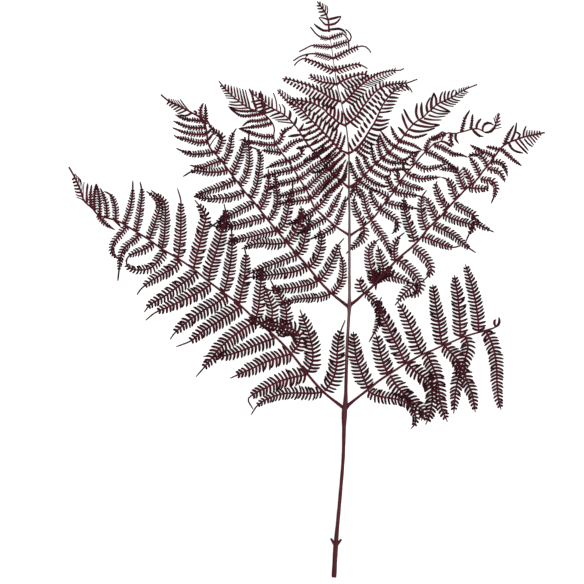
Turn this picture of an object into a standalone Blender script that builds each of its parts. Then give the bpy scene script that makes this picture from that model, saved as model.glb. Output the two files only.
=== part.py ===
"""Bracken frond, cut and dried, lying flat: a stem and the leaflets that grow from it in pairs.

The stem runs from its cut end, through the bare stipe and the forks where the leaflets (pinnae)
leave it, to the thread that carries the last of them. Each pinna is one piece: its midrib (the
costa) with its pinnules. A pinnule here is a plain blade about four fifths as wide as its lobes
reach, or a narrow strip where the real one is undivided.

The drawing below is in millimetres from the stem's first fork, +X to the right and +Y towards the
tip of the frond. Every pinna slopes about its costa, tip side up and base side down, as the slats
of a blind do, so that the pinnae that cross in plan pass over one another.
"""
import math
from typing import NamedTuple

import bmesh
import bpy
from mathutils import Vector
from mathutils.geometry import interpolate_bezier

MM = 0.001

# The stem
STEM_ROUTE = [(-10.5, -175.5), (-8.5, -140), (-4.5, -95), (-1, -51), (0, -12), (0.5, 0), (1.5, 10),
              (2, 30), (3, 62), (4.5, 90), (5.5, 109), (5.5, 140), (5.5, 181), (5.5, 205), (5, 230),
              (5, 266), (2, 296), (-3, 320), (-7.5, 338.5), (-9.5, 352.5), (-11.5, 365.5),
              (-13, 377.5), (-14.5, 386.5), (-15, 390)]
STEM_RADII = [(-175.5, 2.6), (-165, 2.65), (-148, 2.6), (-141, 2.8), (-133, 2.2), (-110, 2.0),
              (-51, 1.8), (-22, 2.1), (-9, 2.8), (0, 3.0), (14, 2.0), (30, 1.8), (96, 1.6),
              (107, 2.3), (116, 1.55), (172, 1.35), (181, 1.7), (190, 1.3), (230, 1.05), (266, 0.9),
              (320, 0.65), (365, 0.5), (390, 0.42)]
STEM_HEIGHTS = [(-175.5, 2.62), (-80, 5.5), (0, 9.0), (110, 8.8), (230, 7.4), (320, 5.2), (390, 3.4)]
STUB_LEVEL = -142.5
STUB_TIPS = [(-14.0, -134.5), (-2.5, -135.5)]
STUB_RADII = (1.9, 0.9)
STEM_SIDES = 8

# The pinnae
SLOPE = 0.075
SLOPE_STEP = 0.006
STAGGER = (0.85, 0.85, 0.85, 0.4)
FLOOR_HEIGHT = 0.45
COSTA_RADII = [(0, 1.0), (0.5, 0.72), (1, 0.32)]
SMALL_COSTA = 0.62
BLADE_HALF_THICKNESS = 0.34
TIP_HALF_WIDTH = 0.45
STRIP_HALF_WIDTH = 0.75
FACET = 1.5
FACET_GAP = 0.35
LONG_STRIP = 9.0
STEM_GAP = 0.4


class Pinna(NamedTuple):
    """One pinna: its costa, the paths of its pinnules on each side, and the lobes they carry."""
    name: str
    costa: list
    upper: list
    lower: list
    lobes: list
    tip_height: float


def fan(count, first, last):
    """A run of pinnules whose paths change evenly from the first to the last."""
    shares = [i / (count - 1) for i in range(count)]
    return [[(ax + (bx - ax) * s, ay + (by - ay) * s) for (ax, ay), (bx, by) in zip(first, last)]
            for s in shares]


PINNAE = [
    Pinna(
        "pinna_left_1",
        costa=[(0, 1), (-21.5, 18), (-38, 36.5), (-55, 58), (-71, 75), (-92, 93), (-108, 108),
               (-125, 121), (-141, 133), (-157, 146), (-173, 157), (-190, 167), (-203, 176.5),
               (-217, 185), (-229, 192.5), (-238, 197), (-248, 199.5), (-257, 203), (-262, 209),
               (-271, 217), (-274, 226), (-280, 240), (-287, 252.5)],
        upper=[
            [(-20, 19), (-12, 31), (-8, 45), (-7, 62), (-5, 77), (1, 93)],
            [(-38, 38), (-33, 50), (-33, 63), (-37, 80), (-42, 93), (-46, 104)],
            [(-54, 59), (-47, 68), (-46.5, 77), (-53, 83), (-66, 86), (-84, 90), (-103, 94)],
            [(-69, 76), (-62, 84), (-60, 95), (-61, 106), (-66, 116), (-72, 126), (-77, 135)],
            [(-79, 82), (-75.5, 93), (-75, 105), (-78, 115), (-83, 128)],
            [(-92, 94), (-89, 106), (-88, 118), (-87, 130), (-86, 141), (-90, 150)],
            [(-109, 110), (-107, 122), (-104, 135), (-103, 147), (-102, 160), (-104, 168)],
            [(-125, 122), (-121, 138), (-118, 155), (-116.5, 170), (-117, 184), (-119, 197)],
            [(-141, 133), (-139, 146), (-134, 162), (-129.5, 176), (-127, 188), (-123, 202),
             (-125, 214)],
            [(-157, 146), (-154, 158), (-150, 174), (-146, 190), (-144, 200), (-148, 208),
             (-155.5, 218)],
            [(-173, 157.5), (-171, 172), (-170, 190), (-170, 208), (-170, 218), (-173.5, 230)],
            [(-190, 167), (-187.5, 178), (-186.5, 192), (-186, 208), (-189, 218), (-201, 228)],
            [(-203, 177), (-199, 188), (-195, 200), (-192, 211), (-195, 219), (-206, 227)],
            [(-217, 185), (-214.5, 195), (-212.5, 207), (-211, 218), (-210.5, 227), (-212.5, 237)],
            [(-229, 192.5), (-225.5, 201), (-222.5, 211), (-220.5, 222), (-220, 231), (-220, 238)],
            [(-238, 197), (-238, 207), (-239.5, 215), (-243, 223), (-250, 227)],
            [(-247, 199.5), (-247.5, 209), (-249, 218), (-254, 230.5)],
            [(-255, 202), (-254.5, 213), (-255.5, 223), (-258, 235)],
            [(-260, 207), (-260.5, 220), (-258.5, 235)],
            *fan(3, [(-264, 211), (-264.5, 222), (-263, 234)],
                 [(-272, 219), (-272, 228), (-271, 237)]),
            *fan(5, [(-274, 227), (-273, 232), (-275, 240)],
                 [(-281, 243), (-280.5, 244), (-280, 245.5)])],
        lower=[
            [(-22, 18), (-34, 16.5), (-50, 17), (-66, 15.5), (-80, 10.5), (-90, 4), (-97, -6)],
            [(-39, 36), (-52, 33.5), (-66, 29.5), (-80, 23), (-94, 15.5), (-100, 10), (-95, 0)],
            [(-54, 58), (-68, 54), (-84, 48), (-100, 40.5), (-119, 32)],
            [(-72, 74), (-84, 70), (-100, 63.5), (-115, 58), (-130, 55), (-147, 55)],
            [(-92, 92), (-103, 85), (-117, 75), (-130, 63), (-142, 48), (-154.5, 33.5)],
            [(-107, 107), (-118, 100), (-133, 90), (-148, 80.5), (-160, 71), (-175, 65)],
            [(-122, 119), (-133, 110.5), (-148, 102), (-163, 91.5), (-176, 80), (-181.5, 72.5)],
            [(-139, 130), (-150, 122.5), (-165, 115), (-182, 107), (-197, 100.5), (-207, 92.5)],
            [(-154, 143), (-163, 135), (-177, 125), (-190, 116), (-202, 109), (-208.5, 101)],
            [(-171, 155), (-179, 146.5), (-190, 140.5), (-203, 132.5), (-212, 125), (-216, 119)],
            [(-187, 165.5), (-193, 156), (-201, 147.5), (-212, 145), (-222, 146.5), (-227, 151),
             (-226, 158)],
            [(-199, 173), (-206, 167.5), (-216, 163.5), (-224, 160), (-228, 154)],
            [(-213, 182.5), (-220, 175), (-229, 168), (-233, 158), (-234.5, 147), (-236, 133.5)],
            [(-226, 191), (-233, 182.5), (-240, 174), (-242.5, 166), (-240, 160), (-231, 154.5)],
            [(-240, 197.5), (-237, 195), (-233, 190)],
            [(-257, 203), (-252, 196), (-245, 190.5), (-239, 187)],
            [(-270, 216), (-274, 219), (-279, 221)],
            *fan(6, [(-273, 222), (-277, 222.5), (-280, 224)],
                 [(-281, 241), (-282.5, 240), (-284, 239)])],
        lobes=[(0, 10.5), (0.2, 10.5), (0.4, 10), (0.55, 8.6), (0.65, 6.2), (0.72, 5), (0.8, 4),
               (0.86, 2.8), (0.88, 2.2), (0.885, 0)],
        tip_height=1.0),
    Pinna(
        "pinna_left_2",
        costa=[(4, 107), (-13.5, 121), (-27, 135), (-39, 150), (-49, 161), (-60, 174), (-70, 186),
               (-80, 198), (-88, 208), (-95, 217), (-104, 227), (-109, 234), (-116, 243),
               (-122, 251), (-128, 259), (-134, 266), (-139, 271), (-142, 279), (-143, 287),
               (-145, 297), (-150, 304), (-157, 308), (-166, 313), (-176, 318), (-184, 322),
               (-191, 328)],
        upper=[
            [(-12, 121), (-5, 129), (-1.5, 139), (-1.5, 152), (-5, 166)],
            [(-25, 134), (-19, 142), (-13, 153), (-9, 162), (-6, 171), (0, 178)],
            [(-36, 148), (-29, 156), (-25, 167), (-23.5, 178), (-26, 190)],
            [(-48, 161), (-43, 169), (-40.5, 180), (-38, 191), (-33, 203)],
            [(-59, 173), (-52, 182), (-48, 191), (-44, 200), (-45, 212)],
            [(-69, 185), (-62, 193), (-59, 205), (-56.5, 216), (-54, 227), (-53, 239)],
            [(-78, 197), (-72, 206), (-69.5, 217), (-70.5, 229), (-72.5, 250)],
            [(-88, 208), (-83, 216), (-80, 226), (-78.5, 237), (-79, 250)],
            [(-97, 220), (-92, 230), (-89.5, 240), (-88, 252), (-87, 263), (-90, 270),
             (-99, 273.5)],
            [(-109, 233), (-103, 241), (-99.5, 252), (-98.5, 264), (-99.5, 276), (-99, 291)],
            [(-117, 244), (-112, 254), (-107.5, 266), (-103.5, 277), (-103, 281), (-109, 280)],
            [(-126, 256), (-121, 265), (-118, 276), (-116.5, 285), (-112, 292.5)],
            [(-134, 266), (-130, 273), (-127, 281), (-129, 286), (-136, 290), (-144, 303)],
            *fan(3, [(-140, 274), (-137, 279), (-133, 284)],
                 [(-143, 287), (-140, 290), (-138, 292)]),
            [(-145, 296), (-144, 305), (-144.5, 318)],
            [(-148, 302), (-150, 311), (-146.5, 319)],
            [(-155, 307), (-154, 309.5), (-157, 311)],
            [(-162, 311), (-166, 316), (-171, 323)],
            [(-166, 313), (-170, 317.5), (-173.5, 322)],
            *fan(4, [(-170, 315), (-173.5, 319), (-176, 322.5)],
                 [(-182, 321), (-182.5, 322.5), (-182.5, 324)])],
        lower=[
            [(-14, 120), (-26, 116.5), (-40, 115.5), (-52, 114), (-60, 111), (-67, 109), (-76, 105)],
            [(-27, 133.5), (-38, 129.5), (-52, 126.5), (-66, 125), (-76, 123.5), (-86, 128)],
            [(-39, 149), (-49, 144), (-62, 141.5), (-76, 140), (-90, 138), (-104, 137)],
            [(-49, 160.5), (-61, 156), (-74, 151), (-88, 146), (-104, 138.5)],
            [(-60, 173.5), (-73, 172), (-87, 173), (-97, 171), (-107, 167)],
            [(-70, 186), (-84, 183), (-98, 179.5), (-111, 177), (-124, 172)],
            [(-82, 199.5), (-96, 196), (-111, 192), (-125, 189.5), (-136, 191), (-142, 196)],
            [(-94, 214.5), (-106, 208.5), (-119, 202), (-131, 195.5), (-142, 188)],
            [(-104, 226), (-115, 221.5), (-130, 219.5), (-144, 219.5), (-157, 221.5)],
            [(-113, 239), (-124, 233.5), (-137, 229), (-149, 225), (-157, 221.5)],
            [(-121, 249.5), (-132, 247), (-146, 247.5), (-157, 248.5), (-168, 242.5)],
            [(-128, 259), (-138, 255.5), (-149, 252), (-161, 254.5)],
            [(-136, 268), (-148, 266), (-162, 266.5), (-175, 272)],
            [(-142, 279), (-151, 277.5), (-163, 281), (-174, 283.5), (-177.5, 286)],
            [(-143, 287), (-154, 286.5), (-166, 288.5), (-179, 293.5)],
            [(-144, 294), (-154, 293), (-164, 294.5), (-178, 300.5)],
            [(-146, 300), (-155, 301), (-166, 302.5), (-176, 307)],
            *fan(2, [(-158, 309), (-165, 306), (-172, 307)],
                 [(-164, 312), (-169, 309.5), (-174, 308)]),
            *fan(5, [(-168, 314), (-172, 312), (-176, 310)],
                 [(-181, 320.5), (-183, 320), (-185, 317.5)])],
        lobes=[(0, 7.4), (0.3, 6.6), (0.6, 5.4), (0.75, 4), (0.83, 2.6), (0.86, 0)],
        tip_height=1.6),
    Pinna(
        "pinna_left_3",
        costa=[(5.5, 181), (-9, 190.5), (-19, 199), (-30, 209), (-34.5, 218), (-39, 228),
               (-46, 239), (-52, 249), (-58, 258), (-65, 267), (-71, 276), (-73.5, 284),
               (-72.5, 292), (-76, 300), (-83, 307), (-91, 311), (-98, 313), (-104, 317),
               (-112, 323), (-118, 328), (-124, 334), (-130.5, 342)],
        upper=[
            [(-8, 191.5), (-5, 201), (-1, 210), (1.5, 222)],
            [(-18, 200), (-11, 211), (-6, 222), (-1, 231.5)],
            [(-29, 209), (-21, 217), (-14, 228), (-3, 237), (1, 244), (3.5, 258)],
            [(-34, 219), (-27, 228), (-20, 236), (-12, 244), (-5, 250), (2, 260)],
            [(-39, 229), (-31, 238), (-22, 246), (-12, 255), (-4, 262)],
            [(-46, 240), (-38, 246), (-28, 254), (-17, 260), (-8, 268)],
            [(-52, 250), (-44, 254), (-34, 262), (-24, 268), (-14, 275)],
            [(-58, 259), (-50, 262), (-43, 268), (-48, 274)],
            [(-64, 268), (-58, 274), (-50, 279), (-38, 281)],
            [(-70, 276), (-64, 284), (-64, 289), (-56, 293), (-52, 296)],
            [(-83, 308), (-84, 317), (-86, 325), (-87, 332)],
            [(-91, 312), (-94, 320), (-96, 328), (-99, 334)],
            *fan(8, [(-98, 313), (-100.5, 323), (-103, 333)],
                 [(-124, 334), (-124, 336), (-123.5, 339)])],
        lower=[
            [(-9, 190.5), (-18, 184.5), (-27, 180.5), (-37, 176.5)],
            [(-19, 199), (-29, 193.5), (-39, 187.5), (-50, 181)],
            [(-30, 208), (-40, 201), (-50, 195.5), (-60, 192)],
            [(-35, 218.5), (-47, 217), (-60, 215.5), (-73, 213)],
            [(-40, 229), (-51, 226.5), (-62, 223), (-73, 222)],
            [(-47, 239), (-59, 236.5), (-71, 233.5), (-84, 226)],
            [(-53, 249.5), (-65, 247), (-78, 244), (-90, 240)],
            [(-59, 258), (-69, 256), (-82, 251)],
            [(-65, 267), (-75, 268.5), (-86, 270)],
            [(-71, 275.5), (-82, 275.5), (-94, 278), (-106, 280)],
            [(-73.5, 284), (-84, 284), (-97, 288), (-110, 292.5)],
            [(-75, 298), (-86, 295.5), (-98, 294), (-110, 292.5)],
            [(-79, 303), (-89, 300.5), (-99, 300), (-106, 295)],
            [(-84, 308), (-94, 306.5), (-105, 305.5), (-113, 309), (-120, 315)],
            [(-91, 311), (-103, 310.5), (-112, 311.5), (-120, 315)],
            *fan(3, [(-100, 314), (-110, 313.5), (-121, 315.5)],
                 [(-109, 320.5), (-114, 320), (-120, 320.5)]),
            *fan(6, [(-112, 323), (-118, 324), (-123, 324.5)],
                 [(-127, 337.5), (-128, 337), (-129.5, 336)])],
        lobes=[(0, 5.2), (0.25, 4.8), (0.5, 4), (0.62, 3), (0.76, 2), (0.78, 0)],
        tip_height=2.0),
    Pinna(
        "pinna_left_4",
        costa=[(5, 230.5), (-2, 236.5), (-14, 247), (-25, 262), (-36.5, 274), (-48, 291.5),
               (-58, 303), (-66, 309), (-75, 313.5), (-84, 319), (-92, 326), (-99, 333)],
        upper=[
            [(-2, 237), (0.5, 243), (2, 250), (3.5, 260)],
            [(-8, 242), (-5, 248.5), (2, 260)],
            *fan(4, [(-14, 248), (-9, 255), (-4, 262)], [(-36, 274), (-30, 279), (-25, 284)]),
            *fan(4, [(-42, 283), (-37, 288), (-33, 293)], [(-57, 302), (-56, 309), (-58, 314)]),
            [(-62, 307), (-62, 314), (-67, 320)],
            [(-66, 310), (-66.5, 315), (-69, 320)],
            [(-70, 312), (-71, 322), (-75.5, 334)],
            *fan(7, [(-75, 314), (-75, 321), (-75, 327)], [(-95, 329), (-95, 331), (-95.5, 334)])],
        lower=[
            [(-3, 237), (-9, 231.5), (-16, 226), (-24, 220)],
            [(-9, 243), (-15, 237), (-22, 229), (-28, 222)],
            *fan(4, [(-18, 252), (-26, 248), (-35, 245)], [(-45, 286), (-53, 285), (-60, 284)]),
            *fan(4, [(-54, 298), (-62, 299), (-71, 300)], [(-66, 309), (-73, 307), (-79, 304)]),
            *fan(5, [(-72, 312), (-80, 309), (-88, 307)], [(-88, 322), (-93, 321), (-98, 320)])],
        lobes=[(0, 2.8), (0.3, 2.2), (0.48, 1.5), (0.5, 0)],
        tip_height=2.0),
    Pinna(
        "pinna_left_5",
        costa=[(5, 266), (-4, 270), (-8, 274), (-12, 278.5), (-16, 283), (-22, 289), (-28, 295.5),
               (-33, 300), (-38.5, 305.5), (-43, 311), (-48, 315), (-56, 318), (-62, 324),
               (-69.5, 333)],
        upper=[
            *fan(12, [(-4, 270.5), (-1, 278), (1, 286)], [(-44, 313), (-43.5, 316), (-43, 319)]),
            *fan(8, [(-48, 315), (-48, 319), (-49, 322)], [(-67, 330), (-66.5, 332), (-67, 334)])],
        lower=[
            *fan(9, [(1, 266), (-7, 257.5), (-16, 249), (-26, 244), (-35, 240.5)],
                 [(-29, 297), (-37, 292.5), (-46, 290.5), (-55, 289.5), (-63, 288.5)]),
            [(-33, 300), (-39, 298), (-45, 295)],
            *fan(4, [(-37, 304), (-43, 301), (-49, 299.5)], [(-44, 312), (-50, 309), (-56, 306.5)]),
            *fan(8, [(-47, 314), (-52, 312), (-58, 310)], [(-67, 330), (-69, 329), (-71, 329)])],
        lobes=[(0, 1.7), (0.35, 1.5), (0.52, 1.2), (0.55, 0)],
        tip_height=3.0),
    Pinna(
        "pinna_left_6",
        costa=[(1.5, 295.5), (-5, 298), (-8.5, 301), (-12, 304), (-17, 308), (-21, 312.5),
               (-28, 316.5), (-34, 319.5), (-42, 321), (-50, 322.5), (-57, 322.5)],
        upper=[
            *fan(6, [(-3, 297.5), (-2, 304), (-2.5, 311)], [(-22, 313.5), (-21.5, 318), (-21, 323)]),
            *fan(8, [(-26, 316), (-26.5, 320), (-26.5, 325.5)],
                 [(-55, 322.5), (-56.5, 323.5), (-58.5, 325)])],
        lower=[
            *fan(7, [(-5, 298), (-9, 292), (-14, 287)], [(-28, 316), (-32, 312.5), (-36, 309)]),
            *fan(6, [(-31, 318), (-35, 314), (-38, 311)], [(-52, 322.5), (-54, 320), (-57, 318)])],
        lobes=[(0, 0)],
        tip_height=2.6),
    Pinna(
        "pinna_left_7",
        costa=[(-3, 320.5), (-12, 323), (-20, 328), (-28, 333), (-38, 338), (-48, 341),
               (-57, 343.5), (-64.5, 344.5)],
        upper=fan(14, [(-6, 321.5), (-7, 327), (-9, 333)], [(-60, 344), (-60.5, 346), (-61, 347)]),
        lower=fan(16, [(-6, 321), (-10, 316), (-14, 311)], [(-61, 344), (-62, 342.5), (-63, 341.5)]),
        lobes=[(0, 0)],
        tip_height=3.2),
    Pinna(
        "pinna_left_8",
        costa=[(-8, 338.5), (-16, 340), (-24, 341), (-30, 344), (-36, 348.5)],
        upper=fan(8, [(-10, 339), (-11, 343), (-12, 346)], [(-33, 346), (-34, 348), (-34.5, 350)]),
        lower=fan(8, [(-10, 338.5), (-13, 335), (-16, 332)], [(-33, 346), (-36, 345), (-38, 345)]),
        lobes=[(0, 0)],
        tip_height=3.4),
    Pinna(
        "pinna_left_9",
        costa=[(-9, 352.5), (-15, 354.5), (-22, 357.5), (-28, 361), (-35, 363.5), (-42, 365.5),
               (-48, 362.5), (-52, 358)],
        upper=fan(9, [(-11, 353.5), (-12, 356), (-13.5, 358)],
                  [(-39, 365), (-39.8, 366), (-40.5, 367)]),
        lower=fan(9, [(-11, 353), (-13.5, 350.5), (-16, 349)],
                  [(-39, 364.5), (-40, 363), (-41, 362)]),
        lobes=[(0, 0)],
        tip_height=3.2),
    Pinna(
        "pinna_left_10",
        costa=[(-11.5, 365.5), (-18, 367.5), (-25, 369.5), (-31, 370.5), (-38, 370),
               (-46, 367.5), (-53, 363)],
        upper=fan(7, [(-13.5, 366.5), (-14.5, 368.5), (-16, 370)],
                  [(-28, 370.2), (-29, 371.5), (-30, 372.5)]),
        lower=[*fan(7, [(-13.5, 365.8), (-15.5, 364), (-17.5, 363)],
                    [(-28, 369.6), (-29.5, 368), (-31, 367.5)]),
               [(-38, 369.8), (-39, 368.3), (-40, 367.5)]],
        lobes=[(0, 0)],
        tip_height=3.0),
    Pinna(
        "pinna_left_11",
        costa=[(-13, 377), (-20, 377.5), (-28, 378.5), (-34, 379), (-40, 376), (-47, 372.5)],
        upper=fan(7, [(-15, 377.6), (-16, 379.3), (-17.5, 380.5)],
                  [(-30, 379), (-31, 380), (-32, 380.8)]),
        lower=fan(7, [(-15, 377), (-16.5, 375.5), (-18, 374.5)],
                  [(-30, 378.5), (-31, 377.3), (-32, 376.5)]),
        lobes=[(0, 0)],
        tip_height=2.8),
    Pinna(
        "pinna_left_12",
        costa=[(-14.5, 386), (-20, 386.5), (-25, 388), (-30, 392), (-35, 398.5)],
        upper=fan(4, [(-16.5, 386.5), (-17.3, 387.7), (-18.3, 388.7)],
                  [(-22.5, 387.6), (-23.2, 388.9), (-24, 390)]),
        lower=fan(4, [(-16.5, 386), (-18, 384.7), (-19.5, 384)],
                  [(-22.5, 387), (-24, 385.8), (-25.2, 385.3)]),
        lobes=[(0, 0)],
        tip_height=3.0),
    Pinna(
        "pinna_right_1",
        costa=[(5, 5), (15, 13), (26, 21.5), (36, 29.5), (46.5, 36.5), (55, 42), (64.5, 48),
               (73, 52.5), (82, 57.5), (91, 61), (102, 66), (112, 70), (122, 74.5), (131, 77.5),
               (140, 80), (149, 82.5), (157, 85), (158.5, 87), (156.5, 89.5), (156.5, 93)],
        upper=[
            [(25, 21.5), (20, 33), (16, 44), (12.5, 54), (11, 66), (9.5, 81)],
            [(46, 36.5), (41.5, 46), (38, 57), (35.5, 68), (33, 78)],
            [(63, 48), (57.5, 61), (51, 74), (45, 87), (39, 99), (36, 110), (39, 117)],
            [(81, 57.5), (76, 68), (71, 81), (65.5, 94), (60, 105), (56, 111)],
            [(102, 66.5), (100, 78), (98.5, 90), (96, 104), (94, 117), (92, 130)],
            [(121, 75), (120.5, 88), (119.5, 103), (118, 118), (116, 130), (114.5, 140)],
            [(140, 80.5), (139.5, 93), (137, 110), (133, 128), (129, 141), (126, 151)]],
        lower=[
            [(25, 19), (33, 14.5), (45, 12), (57, 10), (66, 6), (72, -1), (75, -9), (73.5, -16),
             (69.5, -20.5)],
            [(48, 35.5), (53, 27), (60, 18), (68, 11), (75, 4), (81, 0), (83, -5), (80.5, -12)],
            [(66, 48), (73, 40.5), (82, 34), (89, 27), (92, 17), (91.5, 5), (89, -7), (85, -16.5)],
            [(85, 58.5), (90, 49.5), (95, 37), (98, 25), (99.5, 12), (102.5, -1), (108, -13.5)],
            [(104, 67), (111, 59), (118, 51), (124, 39), (129, 27), (134, 14), (137, -3.5)],
            [(126, 75.5), (129, 67), (127.5, 57), (122.5, 44), (118.5, 30), (116, 15),
             (114.5, -5)],
            [(147, 82), (152.5, 72), (157, 58), (159, 43), (159.5, 28), (161, 11), (164, -1)]],
        lobes=[(0, 10.5), (0.5, 9.8), (1, 8.2)],
        tip_height=6.4),
    Pinna(
        "pinna_right_2",
        costa=[(7, 109), (13.5, 114), (20, 120), (29, 127.5), (37, 137), (45, 145), (53, 153.5),
               (60, 160), (66, 165), (73, 171), (81, 180), (87, 187.5), (94, 194.5), (100, 200),
               (107, 208), (114, 216), (120, 222), (127, 229.5), (134, 235), (140, 241),
               (144, 247), (150, 254), (156, 262), (162, 270), (166, 274.5), (173, 278.5),
               (180, 281), (187, 283.5), (195, 285.5), (203, 287), (209.5, 288.5)],
        upper=[
            [(20, 121.5), (17.5, 127), (16, 133), (18.5, 138.5)],
            [(31, 130), (29.5, 140), (27, 151), (25.5, 161), (26.5, 168), (31, 173), (37, 177.5)],
            [(40, 138), (41, 146), (38.5, 156), (36, 165), (35, 171)],
            [(53, 154), (52, 163), (53, 172), (57, 179), (63, 184)],
            [(73, 174), (70.5, 184), (67, 193), (64, 202), (62, 212), (62.5, 222)],
            [(86, 186.5), (82.5, 195), (80.5, 205), (80, 214), (81.5, 222), (86, 228)],
            [(98, 197.5), (93, 204), (89.5, 211), (87.5, 217), (83, 222)],
            [(108, 209), (103, 213.5), (99.5, 220.5), (97, 227), (95, 232), (97, 238)],
            [(118, 219.5), (113.5, 226), (112, 233), (108, 239), (101, 241.5)],
            [(126, 229), (122, 236), (119.5, 244), (117, 249), (107, 250.5), (99, 249)],
            [(133, 233), (131.5, 240), (128, 246), (123.5, 252.5)],
            [(142, 243), (138, 251), (134, 258), (129.5, 263.5)],
            [(150, 253), (146, 260), (141, 265), (134, 265.5), (129, 263)],
            [(157, 263), (150, 266.5), (142, 269), (131, 275.5)],
            [(163, 270), (155, 272), (147.5, 273.5)],
            [(167, 275), (170.5, 284), (177, 296)],
            [(174, 279), (178, 288), (180, 299)],
            [(181, 281.5), (183.5, 286), (179, 289)],
            [(187, 283), (187.5, 289), (190, 295.5)],
            *fan(6, [(190, 284), (190.5, 288), (191, 291)],
                 [(204, 287.5), (204, 289), (204, 290.5)])],
        lower=[
            [(22, 121), (30, 114), (35, 106), (36.5, 96), (34.5, 87), (30.5, 78), (26, 70)],
            [(34, 133), (33, 128), (33, 124)],
            [(38, 138), (48, 138.5), (58, 136), (66, 133), (73, 131)],
            [(56, 156), (63, 150.5), (70, 144), (76, 137), (79.5, 130), (77.5, 122), (71, 118.5),
             (63, 117)],
            [(72, 168), (79, 163), (85, 157), (90, 150), (90.5, 143), (86, 137), (81.5, 133)],
            [(81, 180), (92, 176), (103, 171.5), (113, 168.5), (122, 170.5)],
            [(93, 192), (102, 187.5), (111, 183), (119, 177), (128, 169.5), (137.5, 163)],
            [(103, 203), (110, 199.5), (117, 197), (127, 194), (136, 191), (131.5, 184.5),
             (127, 174.5)],
            [(115, 215), (121, 209.5), (129, 205.5), (136.5, 201), (137.5, 195), (144, 190.5),
             (156.5, 184.5)],
            [(129, 231), (137, 230), (145, 230), (150, 229.5), (149.5, 236)],
            [(142, 240), (149, 238.5), (155, 237.5), (158.5, 231), (157, 223), (153.5, 214.5)],
            [(150, 252), (153, 249.5), (161, 248), (166, 241.5), (168, 236.5)],
            [(152, 257), (158, 258), (164, 256.5), (168, 252), (170.5, 242.5)],
            [(164, 271), (170, 266), (176, 260.5), (185.5, 253.5)],
            [(172, 278), (174, 273), (179, 269), (187, 267)],
            [(178, 281), (183, 275), (192, 266)],
            [(183, 281), (188, 275), (192.5, 269.5)],
            [(188, 282), (192, 277), (197, 273.5)],
            *fan(5, [(191, 283.5), (195, 279), (198, 275)],
                 [(203, 287), (205, 286), (206, 285.5)])],
        lobes=[(0, 7.4), (0.3, 6.6), (0.6, 5.2), (0.75, 3.8), (0.84, 2.4), (0.86, 0)],
        tip_height=1.0),
    Pinna(
        "pinna_right_3",
        costa=[(6.5, 181), (17.5, 188.5), (22, 192), (29, 197.5), (34, 203.5), (38.5, 209.5),
               (43, 216), (48, 221.5), (52.5, 227.5), (58, 236.5), (65.5, 246.5), (73, 254.5),
               (78, 261), (84.5, 268), (90, 273), (94, 277), (101, 279), (104, 285), (108, 288),
               (115, 287), (121, 288.5), (127, 290), (134, 292), (141, 292), (147, 288.5),
               (154, 291), (158, 297), (160.5, 303), (161.5, 309)],
        upper=[
            [(21, 191.5), (17, 198), (13, 205.5), (10.5, 212), (10, 219), (12.5, 224)],
            [(29, 197.5), (25, 204), (22, 213), (20.5, 221), (16, 231)],
            [(38, 209), (32.5, 213.5), (29, 219.5), (27, 228)],
            [(47, 220.5), (40, 224), (34, 227.5), (28, 229)],
            [(52, 227), (47.5, 233), (45.5, 240), (43, 244)],
            [(58, 236), (55, 242), (57, 249)],
            [(65, 246), (62, 251), (61, 258)],
            [(73, 254), (71.5, 260), (75, 266.5), (80, 269)],
            [(84.5, 268), (86, 274), (89.5, 281), (96, 284), (103, 289.5)],
            [(122, 289), (124, 295), (126, 303), (131, 311.5)],
            [(132, 292), (133, 298), (134, 307.5)],
            [(138, 292.5), (138.5, 297), (143, 302.5)],
            *fan(3, [(158, 298), (157, 301), (156, 304)], [(160, 304), (159.7, 306), (159.5, 308)])],
        lower=[
            [(20, 190), (21, 182), (17, 175.5), (11, 170.5), (2, 162)],
            [(29, 196), (35, 187), (42, 177), (46.5, 167), (50, 157)],
            [(38, 208), (45, 203.5), (52, 199), (56, 194.5), (55, 188), (49.5, 182.5)],
            [(43, 216), (49, 213.5), (56, 212), (64, 210.5), (80, 208.5)],
            [(52, 227), (60, 225), (70, 223.5), (82, 221.5)],
            [(58, 237), (64, 234), (73, 231), (84, 229)],
            [(66, 246), (72, 242), (81, 240), (91, 241), (101, 242)],
            [(75, 256), (83, 250.5), (92, 251), (99, 253), (107, 256)],
            [(84.5, 268), (92, 266), (100, 261.5), (107, 257.5), (113, 253), (120, 249)],
            [(93.5, 275), (101, 273), (108, 269.5), (114, 265.5), (122, 265), (129, 262.5)],
            [(101, 279), (106, 278), (110, 275), (113, 273)],
            [(134, 292), (137, 288), (142, 283.5)],
            *fan(5, [(157, 292), (161, 293), (164.5, 294)], [(161, 305), (162, 306.5), (162.5, 308)])],
        lobes=[(0, 5.6), (0.3, 4.8), (0.5, 4), (0.68, 2.8), (0.8, 1.6), (0.84, 0)],
        tip_height=2.0),
    Pinna(
        "pinna_right_4",
        costa=[(5, 231), (10, 234), (15, 238), (21, 243.5), (27, 250), (33, 256), (40, 261.5),
               (46, 267), (53, 273.5), (58, 279), (63, 286), (67, 291), (72, 297), (78, 301.5),
               (83, 304.5), (87, 309), (91.5, 312.5), (96, 317), (100, 319.5), (105, 321.5),
               (109, 323.5), (112.5, 325), (117, 328), (121, 330.5), (125, 332.5), (129, 334.5),
               (139, 338.5)],
        upper=[
            [(15, 238), (11, 244), (8, 251), (6.5, 258)],
            [(21, 243), (17.5, 250), (14.5, 257), (12.5, 264)],
            [(27, 250), (23, 257), (20, 263)],
            [(33, 256), (30.5, 262), (29, 269), (28, 277)],
            [(40, 261), (37, 268), (35.5, 276), (36, 285)],
            [(46, 267), (42, 274), (38.5, 281), (37, 287)],
            [(53, 273), (47, 277.5), (43, 283), (38, 290)],
            [(58, 279), (53.5, 284), (51, 289), (48.5, 295)],
            [(63, 286), (60, 290), (56, 294)],
            [(66, 292), (63, 299), (60, 308)],
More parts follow.
